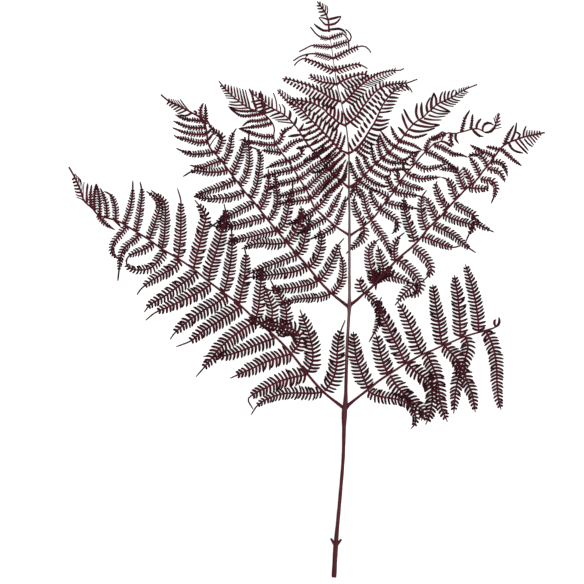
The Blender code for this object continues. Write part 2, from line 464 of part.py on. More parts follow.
            [(72, 297), (67, 303), (62, 313)],
            [(78, 301), (75, 308), (76, 319)],
            [(82, 304), (80.5, 312), (81, 320)],
            [(87, 309), (86, 317), (90, 325)],
            [(91, 312), (91, 321), (93.5, 330)],
            [(96, 317), (96, 323), (93.5, 330)],
            [(100, 319), (100.5, 326), (103, 331)],
            [(105, 321), (104.5, 327), (106, 332)],
            [(108, 323), (108.5, 328), (110, 332)],
            [(112, 324.5), (112.5, 330), (115, 333)],
            [(116, 327), (117, 330), (116, 333)],
            *fan(5, [(120, 330), (120, 332.5), (120, 334.5)],
                 [(129, 334.5), (129.5, 336), (130, 337)])],
        lower=[
            [(9, 233), (10, 229), (6, 222), (1, 216)],
            [(13, 236), (13, 229), (15, 224), (18.5, 219)],
            [(15, 238), (21, 234), (28, 229), (36, 226)],
            [(21, 243), (28, 237.5), (36, 233.5), (46, 231.5)],
            [(27, 250), (35, 245), (42, 241.5), (47.5, 243), (48.5, 248)],
            [(33, 256), (40, 252), (48, 248.5), (56, 250), (70, 250)],
            [(40, 261), (46, 258), (53, 256), (61, 257), (70, 253.5)],
            [(46, 267), (53, 263), (61, 259), (66, 261), (71, 266)],
            [(53, 273), (60, 270), (68, 267.5), (74, 267.5), (79, 269.5)],
            [(58, 279), (66, 277), (74, 274), (82, 269.5)],
            [(63, 286), (68, 285), (73, 283), (80, 284.5), (87, 287)],
            [(66, 292), (75, 289.5), (85, 290), (95, 293)],
            [(72, 297), (80, 295), (90, 294), (100, 296)],
            [(78, 301), (85, 298.5), (92, 297), (100, 296.5)],
            [(83, 303), (92, 301.5), (102, 301.5)],
            [(88, 306.5), (96, 304.5), (106, 305.5)],
            [(90, 311), (98, 308), (109, 308)],
            [(93, 313.5), (101, 311), (111, 309.5)],
            [(97, 317), (104, 313.5), (111, 310)],
            *fan(4, [(101, 319.5), (108, 316.5), (114.5, 315.5)],
                 [(112, 324), (117, 322), (121.5, 321.5)]),
            *fan(4, [(115, 326), (120, 325), (124.5, 325)],
                 [(125, 331.5), (128, 330.5), (130, 330.5)])],
        lobes=[(0, 3.8), (0.3, 3.2), (0.45, 2.2), (0.5, 0)],
        tip_height=2.4),
    Pinna(
        "pinna_right_5",
        costa=[(5, 266.5), (9, 268.5), (14, 273), (18, 277.5), (22, 283), (25, 288), (28, 293),
               (31, 297), (33, 301), (35, 305), (36.5, 309), (38.5, 313.5), (41, 318),
               (43.5, 322), (46.5, 325.5), (49.5, 329), (53, 332), (59.5, 335.5), (66, 336.5),
               (69, 334), (71, 330)],
        upper=[
            *fan(13, [(9, 269), (5.5, 276), (4, 284)], [(46, 325.5), (42, 329), (38, 332.5)]),
            *fan(4, [(49.5, 329), (47, 332.5), (45, 336)], [(59, 335.5), (59, 338), (58, 340)])],
        lower=[
            *fan(6, [(12, 271), (18, 265), (26, 261)], [(25, 288), (31, 285.5), (37, 284.5)]),
            *fan(3, [(28, 292.5), (37, 291), (46, 295)], [(33, 301), (40, 300.5), (48, 302)]),
            [(35, 305), (38, 304.5), (40.5, 304.5)],
            *fan(6, [(36.5, 309), (43, 309.5), (50, 311)], [(49, 329), (54, 328.5), (59, 327.5)]),
            *fan(4, [(52, 331.5), (55, 331), (58, 331)], [(64, 336.5), (66, 334), (68, 332)])],
        lobes=[(0, 2.2), (0.25, 1.8), (0.35, 0)],
        tip_height=4.6),
    Pinna(
        "pinna_right_6",
        costa=[(2, 296.5), (6, 299), (10, 302), (13.5, 306), (16, 309.5), (18.5, 313.5),
               (21.5, 317.5), (24.5, 321), (27.5, 325), (30.5, 328.5), (34.5, 332), (38.5, 335),
               (43.5, 337.5), (50, 338.5), (57, 339.5), (65.5, 340), (76.5, 344)],
        upper=[
            *fan(11, [(6, 299), (1, 305), (-1, 311)], [(34, 332), (33, 336), (33, 339)]),
            *fan(9, [(38, 334.5), (37.5, 338), (37, 341.5)], [(63, 340), (64, 341.5), (65.5, 343)])],
        lower=[
            *fan(11, [(7, 299), (14, 293.5), (20, 291)], [(38, 334.5), (42, 330.5), (44, 326)]),
            *fan(7, [(42, 337), (47, 333.5), (51, 331)], [(64, 339.5), (66, 337), (68, 335)])],
        lobes=[(0, 0)],
        tip_height=2.0),
    Pinna(
        "pinna_right_7",
        costa=[(-1, 319.5), (3, 322.5), (6, 325.5), (9, 329), (13, 333.5), (17.5, 337.5),
               (25, 343), (33, 348.5), (42, 351.5), (52.5, 353), (58, 353), (62.5, 355)],
        upper=[
            *fan(6, [(2, 322), (-1, 327), (-3, 331)], [(17, 337), (15, 341), (14, 344)]),
            *fan(12, [(20, 339.5), (19, 343.5), (19, 347)], [(52, 353), (53, 354.5), (54, 356)])],
        lower=[
            *fan(7, [(2, 321.5), (8, 318), (12, 315)], [(17, 336.5), (22, 336), (26, 334.5)]),
            *fan(12, [(20, 339), (26, 337), (30, 336)], [(52, 352.5), (53, 351), (54, 350)])],
        lobes=[(0, 0)],
        tip_height=3.2),
    Pinna(
        "pinna_right_8",
        costa=[(-7.5, 338.5), (-2, 342), (4, 344.5), (11, 347.5), (17.5, 349.5), (22, 348.5),
               (26, 347.5)],
        upper=fan(8, [(-4, 341), (-6, 345), (-7, 348)], [(22, 348.5), (23, 351), (24, 353)]),
        lower=fan(8, [(-4, 340.5), (0, 336), (4, 333)], [(22, 348), (25, 346), (28, 344)]),
        lobes=[(0, 0)],
        tip_height=3.4),
    Pinna(
        "pinna_right_9",
        costa=[(-10, 352.5), (0, 356), (8, 358.3), (15, 359.5), (20, 357.5), (24.5, 355)],
        upper=fan(8, [(-7.5, 353.5), (-8.5, 356), (-8.5, 358)], [(15, 359.7), (15.7, 361), (16.5, 362)]),
        lower=fan(8, [(-7.5, 353), (-5.5, 350.5), (-3.5, 349.5)], [(15, 359), (16.5, 357.5), (17.7, 356.5)]),
        lobes=[(0, 0)],
        tip_height=3.2),
    Pinna(
        "pinna_right_10",
        costa=[(-11.5, 365.5), (-5, 368.5), (2, 372.5), (8, 375.5), (14, 377.5), (20, 378.5),
               (25, 376), (28, 371.5)],
        upper=fan(9, [(-8.5, 367), (-9, 369), (-9, 371)], [(13, 377.3), (13.5, 378.8), (14, 380)]),
        lower=fan(9, [(-8.5, 366.6), (-7, 364.5), (-5.5, 363.5)], [(13, 376.8), (14, 375), (15, 374)]),
        lobes=[(0, 0)],
        tip_height=3.0),
    Pinna(
        "pinna_right_11",
        costa=[(-13, 377.5), (-5, 380), (0, 382), (5, 383), (7.5, 387), (6, 392), (1.5, 396)],
        upper=fan(6, [(-10, 378.8), (-10.5, 380.7), (-10, 382.3)], [(2, 382.7), (2, 384.2), (2, 385.7)]),
        lower=[*fan(6, [(-10, 378), (-8.5, 376.3), (-7, 375.2)], [(1.5, 382), (2.3, 380), (2.8, 378.6)]),
               [(4.5, 383), (5, 379), (5, 375.5)]],
        lobes=[(0, 0)],
        tip_height=2.8),
    Pinna(
        "pinna_right_12",
        costa=[(-14.5, 386.5), (-8, 389), (-3, 391), (0, 390.5), (3, 387), (5, 383)],
        upper=fan(5, [(-12, 387.8), (-12.5, 389.3), (-12.3, 390.6)], [(-2.5, 391), (-2, 392.3), (-1.8, 393.4)]),
        lower=fan(5, [(-12, 387.2), (-10.8, 385.5), (-9.7, 384.7)], [(-3, 390.5), (-2.5, 388.8), (-2, 387.5)]),
        lobes=[(0, 0)],
        tip_height=4.6),
    Pinna(
        "apex",
        costa=[(-15.5, 393), (-16, 400), (-16.5, 405.5), (-19, 412), (-22, 417), (-25, 421),
               (-28, 425)],
        upper=[
            [(-15.7, 395.5), (-10, 396), (-5, 396.3), (0, 394), (3, 389.5)],
            [(-16, 400.5), (-10, 401.5), (-6, 404.5), (-3, 409)],
            [(-17, 406), (-10, 407.5), (-3, 409.5)],
            [(-18, 411), (-17, 416), (-18, 421)],
            [(-20, 414), (-19, 419), (-20.5, 422)],
            [(-22, 417.5), (-22, 420), (-22.5, 423.5)],
            [(-24.5, 420.5), (-25, 422.5), (-25, 425)]],
        lower=[
            [(-15.7, 395), (-21, 394.5), (-27, 398), (-31.5, 402)],
            [(-16, 400.5), (-20, 401), (-23, 404.5), (-26.5, 408)],
            [(-17, 406), (-21, 407.5), (-26, 408.5)],
            [(-19, 411.5), (-22, 410.5), (-25, 410)],
            [(-20.5, 414.5), (-24, 414), (-27, 414)],
            [(-22.5, 417.5), (-25.5, 417.3), (-28, 417.5)],
            [(-25, 420.5), (-27, 420.3), (-29, 420.5)]],
        lobes=[(0, 0)],
        tip_height=3.4),
]


def ramp(table, value):
    """The table's second column at a value of its first, straight between its rows."""
    for (a, low), (b, high) in zip(table, table[1:]):
        if value <= b:
            return low + (high - low) * max(0.0, value - a) / (b - a)
    return table[-1][1]


class Path:
    """A line through points of the drawing, measured along its own length."""

    def __init__(self, points):
        self.points = [Vector(point) for point in points]
        self.marks = [0.0]
        for a, b in zip(self.points, self.points[1:]):
            self.marks.append(self.marks[-1] + (b - a).length)
        self.length = self.marks[-1]

    def at(self, distance):
        """The point at a distance from the start."""
        distance = min(max(distance, 0.0), self.length)
        for i in range(len(self.marks) - 1):
            if distance <= self.marks[i + 1]:
                share = (distance - self.marks[i]) / (self.marks[i + 1] - self.marks[i])
                return self.points[i].lerp(self.points[i + 1], share)
        return self.points[-1].copy()

    def heading(self, distance, reach=2.5):
        """The direction of the line about a distance from the start."""
        return (self.at(distance + reach) - self.at(distance - reach)).normalized()

    def nearest(self, point):
        """The distance from the start to the line's nearest point, and how far off it is."""
        best = (0.0, 1e9)
        for i, (a, b) in enumerate(zip(self.points, self.points[1:])):
            along = b - a
            share = min(max((point - a).dot(along) / along.length_squared, 0.0), 1.0)
            off = (a + along * share - point).length
            if off < best[1]:
                best = (self.marks[i] + share * along.length, off)
        return best


STEM_PATH = Path(STEM_ROUTE)


def new_object(name, mesh):
    """Add a mesh to the scene with a material of its own."""
    thing = bpy.data.objects.new(name, mesh)
    material = bpy.data.materials.new(name)
    material.use_nodes = True
    surface = material.node_tree.nodes["Principled BSDF"]
    surface.inputs["Base Color"].default_value = (0.045, 0.012, 0.010, 1.0)
    surface.inputs["Roughness"].default_value = 0.6
    mesh.materials.append(material)
    return thing


def tube(name, points, radii, sides):
    """A closed mesh swept along points with a radius at each."""
    curve = bpy.data.curves.new(name, "CURVE")
    curve.dimensions = "3D"
    curve.bevel_depth = 1.0
    curve.bevel_resolution = sides // 4
    curve.use_fill_caps = True
    line = curve.splines.new("POLY")
    line.points.add(len(points) - 1)
    for spot, place, radius in zip(line.points, points, radii):
        spot.co = (*place, 1.0)
        spot.radius = radius
    holder = bpy.data.objects.new(name, curve)
    bpy.context.scene.collection.objects.link(holder)
    bpy.context.view_layer.update()
    seen = holder.evaluated_get(bpy.context.evaluated_depsgraph_get())
    mesh = bpy.data.meshes.new_from_object(seen)
    bpy.data.objects.remove(holder)
    shape = bmesh.new()
    shape.from_mesh(mesh)
    bmesh.ops.remove_doubles(shape, verts=shape.verts, dist=1e-7)
    bmesh.ops.recalc_face_normals(shape, faces=shape.faces)
    shape.to_mesh(mesh)
    shape.free()
    mesh.name = name
    return mesh


def make_stem(parts, cutters):
    """The stem: the tapering stipe and rachis joined with the two stubs of stripped leaflets."""
    levels = sorted({y for _, y in STEM_ROUTE} | {y for y, _ in STEM_RADII})
    spots, radii = [], []
    for level in levels:
        x = ramp([(y, x) for x, y in STEM_ROUTE], level)
        spots.append(Vector((x, level, ramp(STEM_HEIGHTS, level))) * MM)
        radii.append(ramp(STEM_RADII, level) * MM)
    stem = new_object("stem", tube("stem", spots, radii, STEM_SIDES))
    parts.objects.link(stem)
    x = ramp([(y, x) for x, y in STEM_ROUTE], STUB_LEVEL)
    root = Vector((x, STUB_LEVEL, ramp(STEM_HEIGHTS, STUB_LEVEL)))
    for i, (tip_x, tip_y) in enumerate(STUB_TIPS):
        end = Vector((tip_x, tip_y, root.z))
        stub = bpy.data.objects.new(
            f"stub_{i}", tube(f"stub_{i}", [root * MM, end * MM], [r * MM for r in STUB_RADII], 8))
        stub.hide_render = True
        stub.display_type = "WIRE"
        cutters.objects.link(stub)
        join = stem.modifiers.new(f"stub_{i}", "BOOLEAN")
        join.operation = "UNION"
        join.solver = "EXACT"
        join.object = stub
    return stem


class Frame:
    """The lie of one pinna: where its costa runs, how high, and how its two sides slope."""

    def __init__(self, pinna):
        self.pinna = pinna
        self.costa = Path(pinna.costa)
        ending = pinna.name.split("_")[-1]
        self.pair = int(ending) if ending.isdigit() else 13
        self.base = ramp(STEM_HEIGHTS, pinna.costa[0][1])
        self.slope = SLOPE + SLOPE_STEP * max(0, self.pair - 3)
        self.stagger = STAGGER[self.pair - 1] if self.pair <= len(STAGGER) else 0.0
        self.thick = 1.0 if self.pair <= 4 else SMALL_COSTA if self.pair <= 8 else 0.5

    def costa_height(self, distance):
        """The height of the costa's middle."""
        share = distance / self.costa.length
        return self.base + (self.pinna.tip_height - self.base) * share

    def costa_radius(self, distance):
        """The costa's half width."""
        return max(0.3, ramp(COSTA_RADII, distance / self.costa.length) * self.thick)

    def start(self):
        """The first distance at which the costa stands clear of the stem."""
        distance = 0.0
        while True:
            off = STEM_PATH.nearest(self.costa.at(distance))
            level = STEM_PATH.at(off[0]).y
            if self.pair == 13 or off[1] > ramp(STEM_RADII, level) + STEM_GAP + 0.5 * self.costa_radius(0):
                return distance
            distance += 0.1

    def height(self, point, side, share, order):
        """The height of a pinnule's middle at a point of the drawing."""
        distance, off = self.costa.nearest(point)
        lift = self.slope * off + self.stagger * (order % 3) * min(1.0, share * 1.6)
        return max(FLOOR_HEIGHT, self.costa_height(distance) + side * lift)


def sides_of(middle, heading, half_width, half_thickness):
    """The four corners of a section: left bottom, right bottom, right top, left top."""
    left = Vector((-heading.y, heading.x, 0.0)) * half_width
    up = Vector((0.0, 0.0, half_thickness))
    return [middle + left - up, middle - left - up, middle - left + up, middle + left + up]


def grow(shape, face, corners, places):
    """Extrude one face and set its corners; return the new face and the faces left at its sides."""
    grown = bmesh.ops.extrude_discrete_faces(shape, faces=[face])["faces"][0]
    ends = []
    for corner in corners:
        ends.append(min(grown.verts, key=lambda vert: (vert.co - corner.co).length))
    for vert, place in zip(ends, places):
        vert.co = place * MM
    walls = []
    for a, b in zip(ends, ends[1:] + ends[:1]):
        edge = next(e for e in grown.edges if set(e.verts) == {a, b})
        walls.append(next(f for f in edge.link_faces if f is not grown))
    return grown, ends, walls


def groups_of(frame, start):
    """Pinnules gathered by where they leave the costa, opposite ones together."""
    entries = []
    for side, paths in ((1, frame.pinna.upper), (-1, frame.pinna.lower)):
        for order, points in enumerate(paths):
            entries.append((frame.costa.nearest(Vector(points[0]))[0], side, order, points))
    groups = []
    for entry in sorted(entries, key=lambda entry: entry[0]):
        if groups and len(groups[-1]) == 1 and groups[-1][0][1] != entry[1] \
                and entry[0] - groups[-1][0][0] < FACET * 1.6:
            groups[-1].append(entry)
        else:
            groups.append([entry])
    placed, last = [], start + 0.6
    for group in groups:
        middle = sum(entry[0] for entry in group) / len(group)
        begin = max(last + FACET_GAP, middle - FACET / 2)
        placed.append((begin, begin + FACET, group))
        last = begin + FACET
    return placed


def make_pinnule(shape, frame, wall, side, order, points):
    """Extrude one side facet of the costa outward into a pinnule."""
    path = Path(points)
    lobe = ramp(frame.pinna.lobes, frame.costa.nearest(path.points[0])[0] / frame.costa.length)
    length = 3.0
    while length < path.length:
        here = path.at(length)
        along, off = STEM_PATH.nearest(here)
        level = STEM_PATH.at(along).y
        rise = frame.height(here, side, length / path.length, order) - ramp(STEM_HEIGHTS, level)
        thick = ramp(STEM_RADII, level)
        if frame.pair < 13 and off < thick + 1.6 and abs(rise) < thick + 0.8:
            break
        length = min(length + 0.5, path.length)
    if lobe > 1.0 and path.length > 14:
        stations = [(0.1, 0.62 * lobe), (0.42, 0.8 * lobe), (0.76, 0.5 * lobe), (1.0, TIP_HALF_WIDTH)]
        if path.length > 55:
            stations.insert(2, (0.6, 0.72 * lobe))
    elif length > LONG_STRIP:
        stations = [(0.5, STRIP_HALF_WIDTH), (1.0, TIP_HALF_WIDTH)]
    else:
        stations = [(1.0, TIP_HALF_WIDTH)]
    verts = list(wall.verts)
    centre = sum((vert.co for vert in verts), Vector()) / 4
    toward = (path.at(3.0) - path.at(0.0)).normalized()
    left = Vector((-toward.y, toward.x, 0.0))
    lefts = sorted(verts, key=lambda vert: -(vert.co - centre).dot(left))
    first = sorted(lefts[:2], key=lambda vert: vert.co.z)
    second = sorted(lefts[2:], key=lambda vert: vert.co.z)
    corners = [first[0], second[0], second[1], first[1]]
    face = wall
    for share, half in stations:
        spot = length * share
        flat = path.at(spot)
        high = frame.height(flat, side, share, order)
        heading = path.heading(min(spot, length - 0.5), 0.06 * length + 0.5)
        half_thickness = BLADE_HALF_THICKNESS * (0.72 if share == 1.0 else 1.0)
        half_width = max(half, TIP_HALF_WIDTH)
        places = sides_of(Vector((flat.x, flat.y, high)), heading, half_width, half_thickness)
        face, corners, _ = grow(shape, face, corners, places)


def make_pinna(pinna, parts):
    """One pinna: the costa extruded from its base, its pinnules from the costa's side facets."""
    frame = Frame(pinna)
    costa = frame.costa
    start = frame.start()
    shape = bmesh.new()
    ring = bmesh.ops.create_cube(shape, size=2.0)["verts"]

    def section(distance):
        flat = costa.at(distance)
        radius = frame.costa_radius(distance)
        return sides_of(Vector((flat.x, flat.y, frame.costa_height(distance))),
                        costa.heading(distance), radius, 0.85 * radius)

    back, front = section(start), section(start + 0.6)
    corners = []
    for index, (sx, sz) in enumerate(((-1, -1), (1, -1), (1, 1), (-1, 1))):
        rear = next(v for v in ring if v.co.x * sx > 0 and v.co.z * sz > 0 and v.co.y < 0)
        fore = next(v for v in ring if v.co.x * sx > 0 and v.co.z * sz > 0 and v.co.y > 0)
        corners.append((rear, fore, back[index] * MM, front[index] * MM))
    for rear, fore, rear_place, fore_place in corners:
        rear.co, fore.co = rear_place, fore_place
    corners = [fore for _, fore, _, _ in corners]
    face = next(f for f in shape.faces if set(f.verts) == set(corners))
    sprouts = []
    last = start + 0.6
    for begin, finish, group in groups_of(frame, start):
        finish = min(finish, costa.length - 0.7)
        begin = min(begin, finish - 0.6)
        if begin <= last + 0.15:
            begin = last + 0.15
            finish = max(finish, begin + 0.5)
        if finish > costa.length - 0.15:
            break
        face, corners, _ = grow(shape, face, corners, section(begin))
        face, corners, walls = grow(shape, face, corners, section(finish))
        for _, side, order, points in group:
            outward = Vector(points[1]) - Vector(points[0])
            across = costa.heading(begin)
            turned = across.x * outward.y - across.y * outward.x
            sprouts.append((walls[3] if turned > 0 else walls[1], side, order, points))
        last = finish
    if costa.length - last > 0.5:
        face, corners, _ = grow(shape, face, corners, section(costa.length))
    taken = set()
    for wall, side, order, points in sprouts:
        if wall not in taken:
            taken.add(wall)
            make_pinnule(shape, frame, wall, side, order, points)
    bmesh.ops.recalc_face_normals(shape, faces=shape.faces)
    mesh = bpy.data.meshes.new(pinna.name)
    shape.to_mesh(mesh)
    shape.free()
    thing = new_object(pinna.name, mesh)
    parts.objects.link(thing)
    return thing


def settle(things):
    """Move everything so that the box's bottom centre is the origin."""
    bpy.context.view_layer.update()
    spots = [vert.co for thing in things for vert in thing.data.vertices]
    low = Vector((min(v.x for v in spots), min(v.y for v in spots), min(v.z for v in spots)))
    high = Vector((max(v.x for v in spots), max(v.y for v in spots), max(v.z for v in spots)))
    shift = Vector((-(low.x + high.x) / 2, -(low.y + high.y) / 2, -low.z))
    return shift


def main():
    for thing in list(bpy.data.objects):
        bpy.data.objects.remove(thing)
    parts = bpy.data.collections.new("parts")
    cutters = bpy.data.collections.new("cutters")
    bpy.context.scene.collection.children.link(parts)
    bpy.context.scene.collection.children.link(cutters)
    stem = make_stem(parts, cutters)
    things = [stem] + [make_pinna(pinna, parts) for pinna in PINNAE]
    shift = settle(things)
    for thing in things + list(cutters.objects):
        for vert in thing.data.vertices:
            vert.co += shift


main()
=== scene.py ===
"""A dried bracken frond lying on a pale floor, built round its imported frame."""
import math
import random
from typing import NamedTuple

import bpy
from bpy.props import FloatProperty, FloatVectorProperty, IntProperty, PointerProperty
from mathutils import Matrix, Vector


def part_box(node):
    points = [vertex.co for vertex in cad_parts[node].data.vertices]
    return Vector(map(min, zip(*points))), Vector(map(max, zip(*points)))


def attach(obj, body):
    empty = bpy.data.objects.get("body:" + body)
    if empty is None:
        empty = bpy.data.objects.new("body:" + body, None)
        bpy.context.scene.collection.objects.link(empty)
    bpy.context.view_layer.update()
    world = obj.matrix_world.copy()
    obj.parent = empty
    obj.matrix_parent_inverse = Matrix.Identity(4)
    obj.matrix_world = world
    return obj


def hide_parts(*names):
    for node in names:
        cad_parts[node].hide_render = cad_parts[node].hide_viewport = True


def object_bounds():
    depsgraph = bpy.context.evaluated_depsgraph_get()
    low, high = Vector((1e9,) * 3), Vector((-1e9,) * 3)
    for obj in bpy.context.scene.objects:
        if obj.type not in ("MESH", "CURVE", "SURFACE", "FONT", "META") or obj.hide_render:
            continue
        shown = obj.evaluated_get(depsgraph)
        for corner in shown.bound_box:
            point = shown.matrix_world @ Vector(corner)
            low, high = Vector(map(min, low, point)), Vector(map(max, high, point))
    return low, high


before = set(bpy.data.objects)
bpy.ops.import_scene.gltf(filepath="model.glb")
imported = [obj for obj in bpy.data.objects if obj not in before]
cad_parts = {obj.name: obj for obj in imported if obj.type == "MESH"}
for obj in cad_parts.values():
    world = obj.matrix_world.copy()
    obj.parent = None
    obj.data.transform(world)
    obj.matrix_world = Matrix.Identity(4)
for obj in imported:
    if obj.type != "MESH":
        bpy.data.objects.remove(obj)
CAD_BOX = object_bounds()

bl_info = {
    "name": "Bracken Frond",
    "version": (1, 0, 0),
    "blender": (4, 5, 0),
    "location": "View3D > Sidebar > Frond",
    "description": "Builds a dried bracken frond with lobed pinnules, and a stage to lay it on",
    "category": "Add Mesh",
}

MM = 0.001

# The drawing: millimetres from the stem's first fork, +X right, +Y to the tip. The stem's lowest
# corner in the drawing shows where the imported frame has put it.
STEM_CORNER = Vector((-15.416, -175.659, 0.021))
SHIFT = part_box("stem")[0] - STEM_CORNER * MM

# The stem
STEM_ROUTE = [(-10.5, -175.5), (-8.5, -140), (-4.5, -95), (-1, -51), (0, -12), (0.5, 0), (1.5, 10),
              (2, 30), (3, 62), (4.5, 90), (5.5, 109), (5.5, 140), (5.5, 181), (5.5, 205), (5, 230),
              (5, 266), (2, 296), (-3, 320), (-7.5, 338.5), (-9.5, 352.5), (-11.5, 365.5),
              (-13, 377.5), (-14.5, 386.5), (-15, 390)]
STEM_RADII = [(-175.5, 2.6), (-165, 2.65), (-148, 2.6), (-141, 2.8), (-133, 2.2), (-110, 2.0),
              (-51, 1.8), (-22, 2.1), (-9, 2.8), (0, 3.0), (14, 2.0), (30, 1.8), (96, 1.6),
              (107, 2.3), (116, 1.55), (172, 1.35), (181, 1.7), (190, 1.3), (230, 1.05), (266, 0.9),
              (320, 0.65), (365, 0.5), (390, 0.42)]
STEM_HEIGHTS = [(-175.5, 2.62), (-80, 5.5), (0, 9.0), (110, 8.8), (230, 7.4), (320, 5.2), (390, 3.4)]
STUB_LEVEL = -142.5
STUB_TIPS = [(-14.0, -134.5), (-2.5, -135.5)]
STUB_SHARES = (0, 0.5, 0.9, 1)
STUB_HALF_WIDTHS = (2.1, 1.6, 1.15, 0.8)
STUB_HALF_THICKNESSES = (1.9, 1.45, 1.05, 0.7)
STUB_SIDES = 12
STEM_SECTIONS = 220
STEM_SWELL = 0.035
STEM_SWELLS_PER_MM = 0.31
STEM_ROUGHNESS = 0.02
STEM_FLATNESS = 0.97
STEM_PALING = [(30, 0.0), (120, 1.0)]

# How the pinnae slope about their costae, and how the pinnules of a side lie in three levels
SLOPE = 0.075
SLOPE_STEP = 0.006
FIRST_STEEPER_PAIR = 3
STAGGER = (0.85, 0.85, 0.85, 0.4)
STAGGER_LEVELS = 3
STAGGER_RISE = 1.6
APEX_PAIR = 13
FLOOR_HEIGHT = 0.45
FLOOR_CLEARANCE = 0.12
FLOOR_PRESS = 0.15


class Pinna(NamedTuple):
    """One pinna: its costa, the paths of its pinnules on each side, and the lobes they carry."""
    name: str
    costa: list
    upper: list
    lower: list
    tip_height: float
    lobes: list = [(0, 0)]  # none


def fan(count, first, last):
    """A run of pinnules whose paths change evenly from the first to the last."""
    shares = [i / (count - 1) for i in range(count)]
    return [[(ax + (bx - ax) * s, ay + (by - ay) * s) for (ax, ay), (bx, by) in zip(first, last)]
            for s in shares]


LEFT_1 = Pinna(
    "pinna_left_1",
    costa=[(0, 1), (-21.5, 18), (-38, 36.5), (-55, 58), (-71, 75), (-92, 93), (-108, 108), (-125, 121),
           (-141, 133), (-157, 146), (-173, 157), (-190, 167), (-203, 176.5), (-217, 185), (-229, 192.5),
           (-238, 197), (-248, 199.5), (-257, 203), (-262, 209), (-271, 217), (-274, 226), (-280, 240),
           (-287, 252.5)],
    upper=[
        [(-20, 19), (-12, 31), (-8, 45), (-7, 62), (-5, 77), (1, 93)],
        [(-38, 38), (-33, 50), (-33, 63), (-37, 80), (-42, 93), (-46, 104)],
        [(-54, 59), (-47, 68), (-46.5, 77), (-53, 83), (-66, 86), (-84, 90), (-103, 94)],
        [(-69, 76), (-62, 84), (-60, 95), (-61, 106), (-66, 116), (-72, 126), (-77, 135)],
        [(-79, 82), (-75.5, 93), (-75, 105), (-78, 115), (-83, 128)],
        [(-92, 94), (-89, 106), (-88, 118), (-87, 130), (-86, 141), (-90, 150)],
        [(-109, 110), (-107, 122), (-104, 135), (-103, 147), (-102, 160), (-104, 168)],
        [(-125, 122), (-121, 138), (-118, 155), (-116.5, 170), (-117, 184), (-119, 197)],
        [(-141, 133), (-139, 146), (-134, 162), (-129.5, 176), (-127, 188), (-123, 202), (-125, 214)],
        [(-157, 146), (-154, 158), (-150, 174), (-146, 190), (-144, 200), (-148, 208), (-155.5, 218)],
        [(-173, 157.5), (-171, 172), (-170, 190), (-170, 208), (-170, 218), (-173.5, 230)],
        [(-190, 167), (-187.5, 178), (-186.5, 192), (-186, 208), (-189, 218), (-201, 228)],
        [(-203, 177), (-199, 188), (-195, 200), (-192, 211), (-195, 219), (-206, 227)],
        [(-217, 185), (-214.5, 195), (-212.5, 207), (-211, 218), (-210.5, 227), (-212.5, 237)],
        [(-229, 192.5), (-225.5, 201), (-222.5, 211), (-220.5, 222), (-220, 231), (-220, 238)],
        [(-238, 197), (-238, 207), (-239.5, 215), (-243, 223), (-250, 227)],
        [(-247, 199.5), (-247.5, 209), (-249, 218), (-254, 230.5)],
        [(-255, 202), (-254.5, 213), (-255.5, 223), (-258, 235)],
        [(-260, 207), (-260.5, 220), (-258.5, 235)],
        *fan(3, [(-264, 211), (-264.5, 222), (-263, 234)], [(-272, 219), (-272, 228), (-271, 237)]),
        *fan(5, [(-274, 227), (-273, 232), (-275, 240)], [(-281, 243), (-280.5, 244), (-280, 245.5)])],
    lower=[
        [(-22, 18), (-34, 16.5), (-50, 17), (-66, 15.5), (-80, 10.5), (-90, 4), (-97, -6)],
        [(-39, 36), (-52, 33.5), (-66, 29.5), (-80, 23), (-94, 15.5), (-100, 10), (-95, 0)],
        [(-54, 58), (-68, 54), (-84, 48), (-100, 40.5), (-119, 32)],
        [(-72, 74), (-84, 70), (-100, 63.5), (-115, 58), (-130, 55), (-147, 55)],
        [(-92, 92), (-103, 85), (-117, 75), (-130, 63), (-142, 48), (-154.5, 33.5)],
        [(-107, 107), (-118, 100), (-133, 90), (-148, 80.5), (-160, 71), (-175, 65)],
        [(-122, 119), (-133, 110.5), (-148, 102), (-163, 91.5), (-176, 80), (-181.5, 72.5)],
        [(-139, 130), (-150, 122.5), (-165, 115), (-182, 107), (-197, 100.5), (-207, 92.5)],
        [(-154, 143), (-163, 135), (-177, 125), (-190, 116), (-202, 109), (-208.5, 101)],
        [(-171, 155), (-179, 146.5), (-190, 140.5), (-203, 132.5), (-212, 125), (-216, 119)],
        [(-187, 165.5), (-193, 156), (-201, 147.5), (-212, 145), (-222, 146.5), (-227, 151), (-226, 158)],
        [(-199, 173), (-206, 167.5), (-216, 163.5), (-224, 160), (-228, 154)],
        [(-213, 182.5), (-220, 175), (-229, 168), (-233, 158), (-234.5, 147), (-236, 133.5)],
        [(-226, 191), (-233, 182.5), (-240, 174), (-242.5, 166), (-240, 160), (-231, 154.5)],
        [(-240, 197.5), (-237, 195), (-233, 190)],
        [(-257, 203), (-252, 196), (-245, 190.5), (-239, 187)],
        [(-270, 216), (-274, 219), (-279, 221)],
        *fan(6, [(-273, 222), (-277, 222.5), (-280, 224)], [(-281, 241), (-282.5, 240), (-284, 239)])],
    lobes=[(0, 10.5), (0.2, 10.5), (0.4, 10), (0.55, 8.6), (0.65, 6.2), (0.72, 5), (0.8, 4), (0.86, 2.8),
           (0.88, 2.2), (0.885, 0)],
    tip_height=1.0)
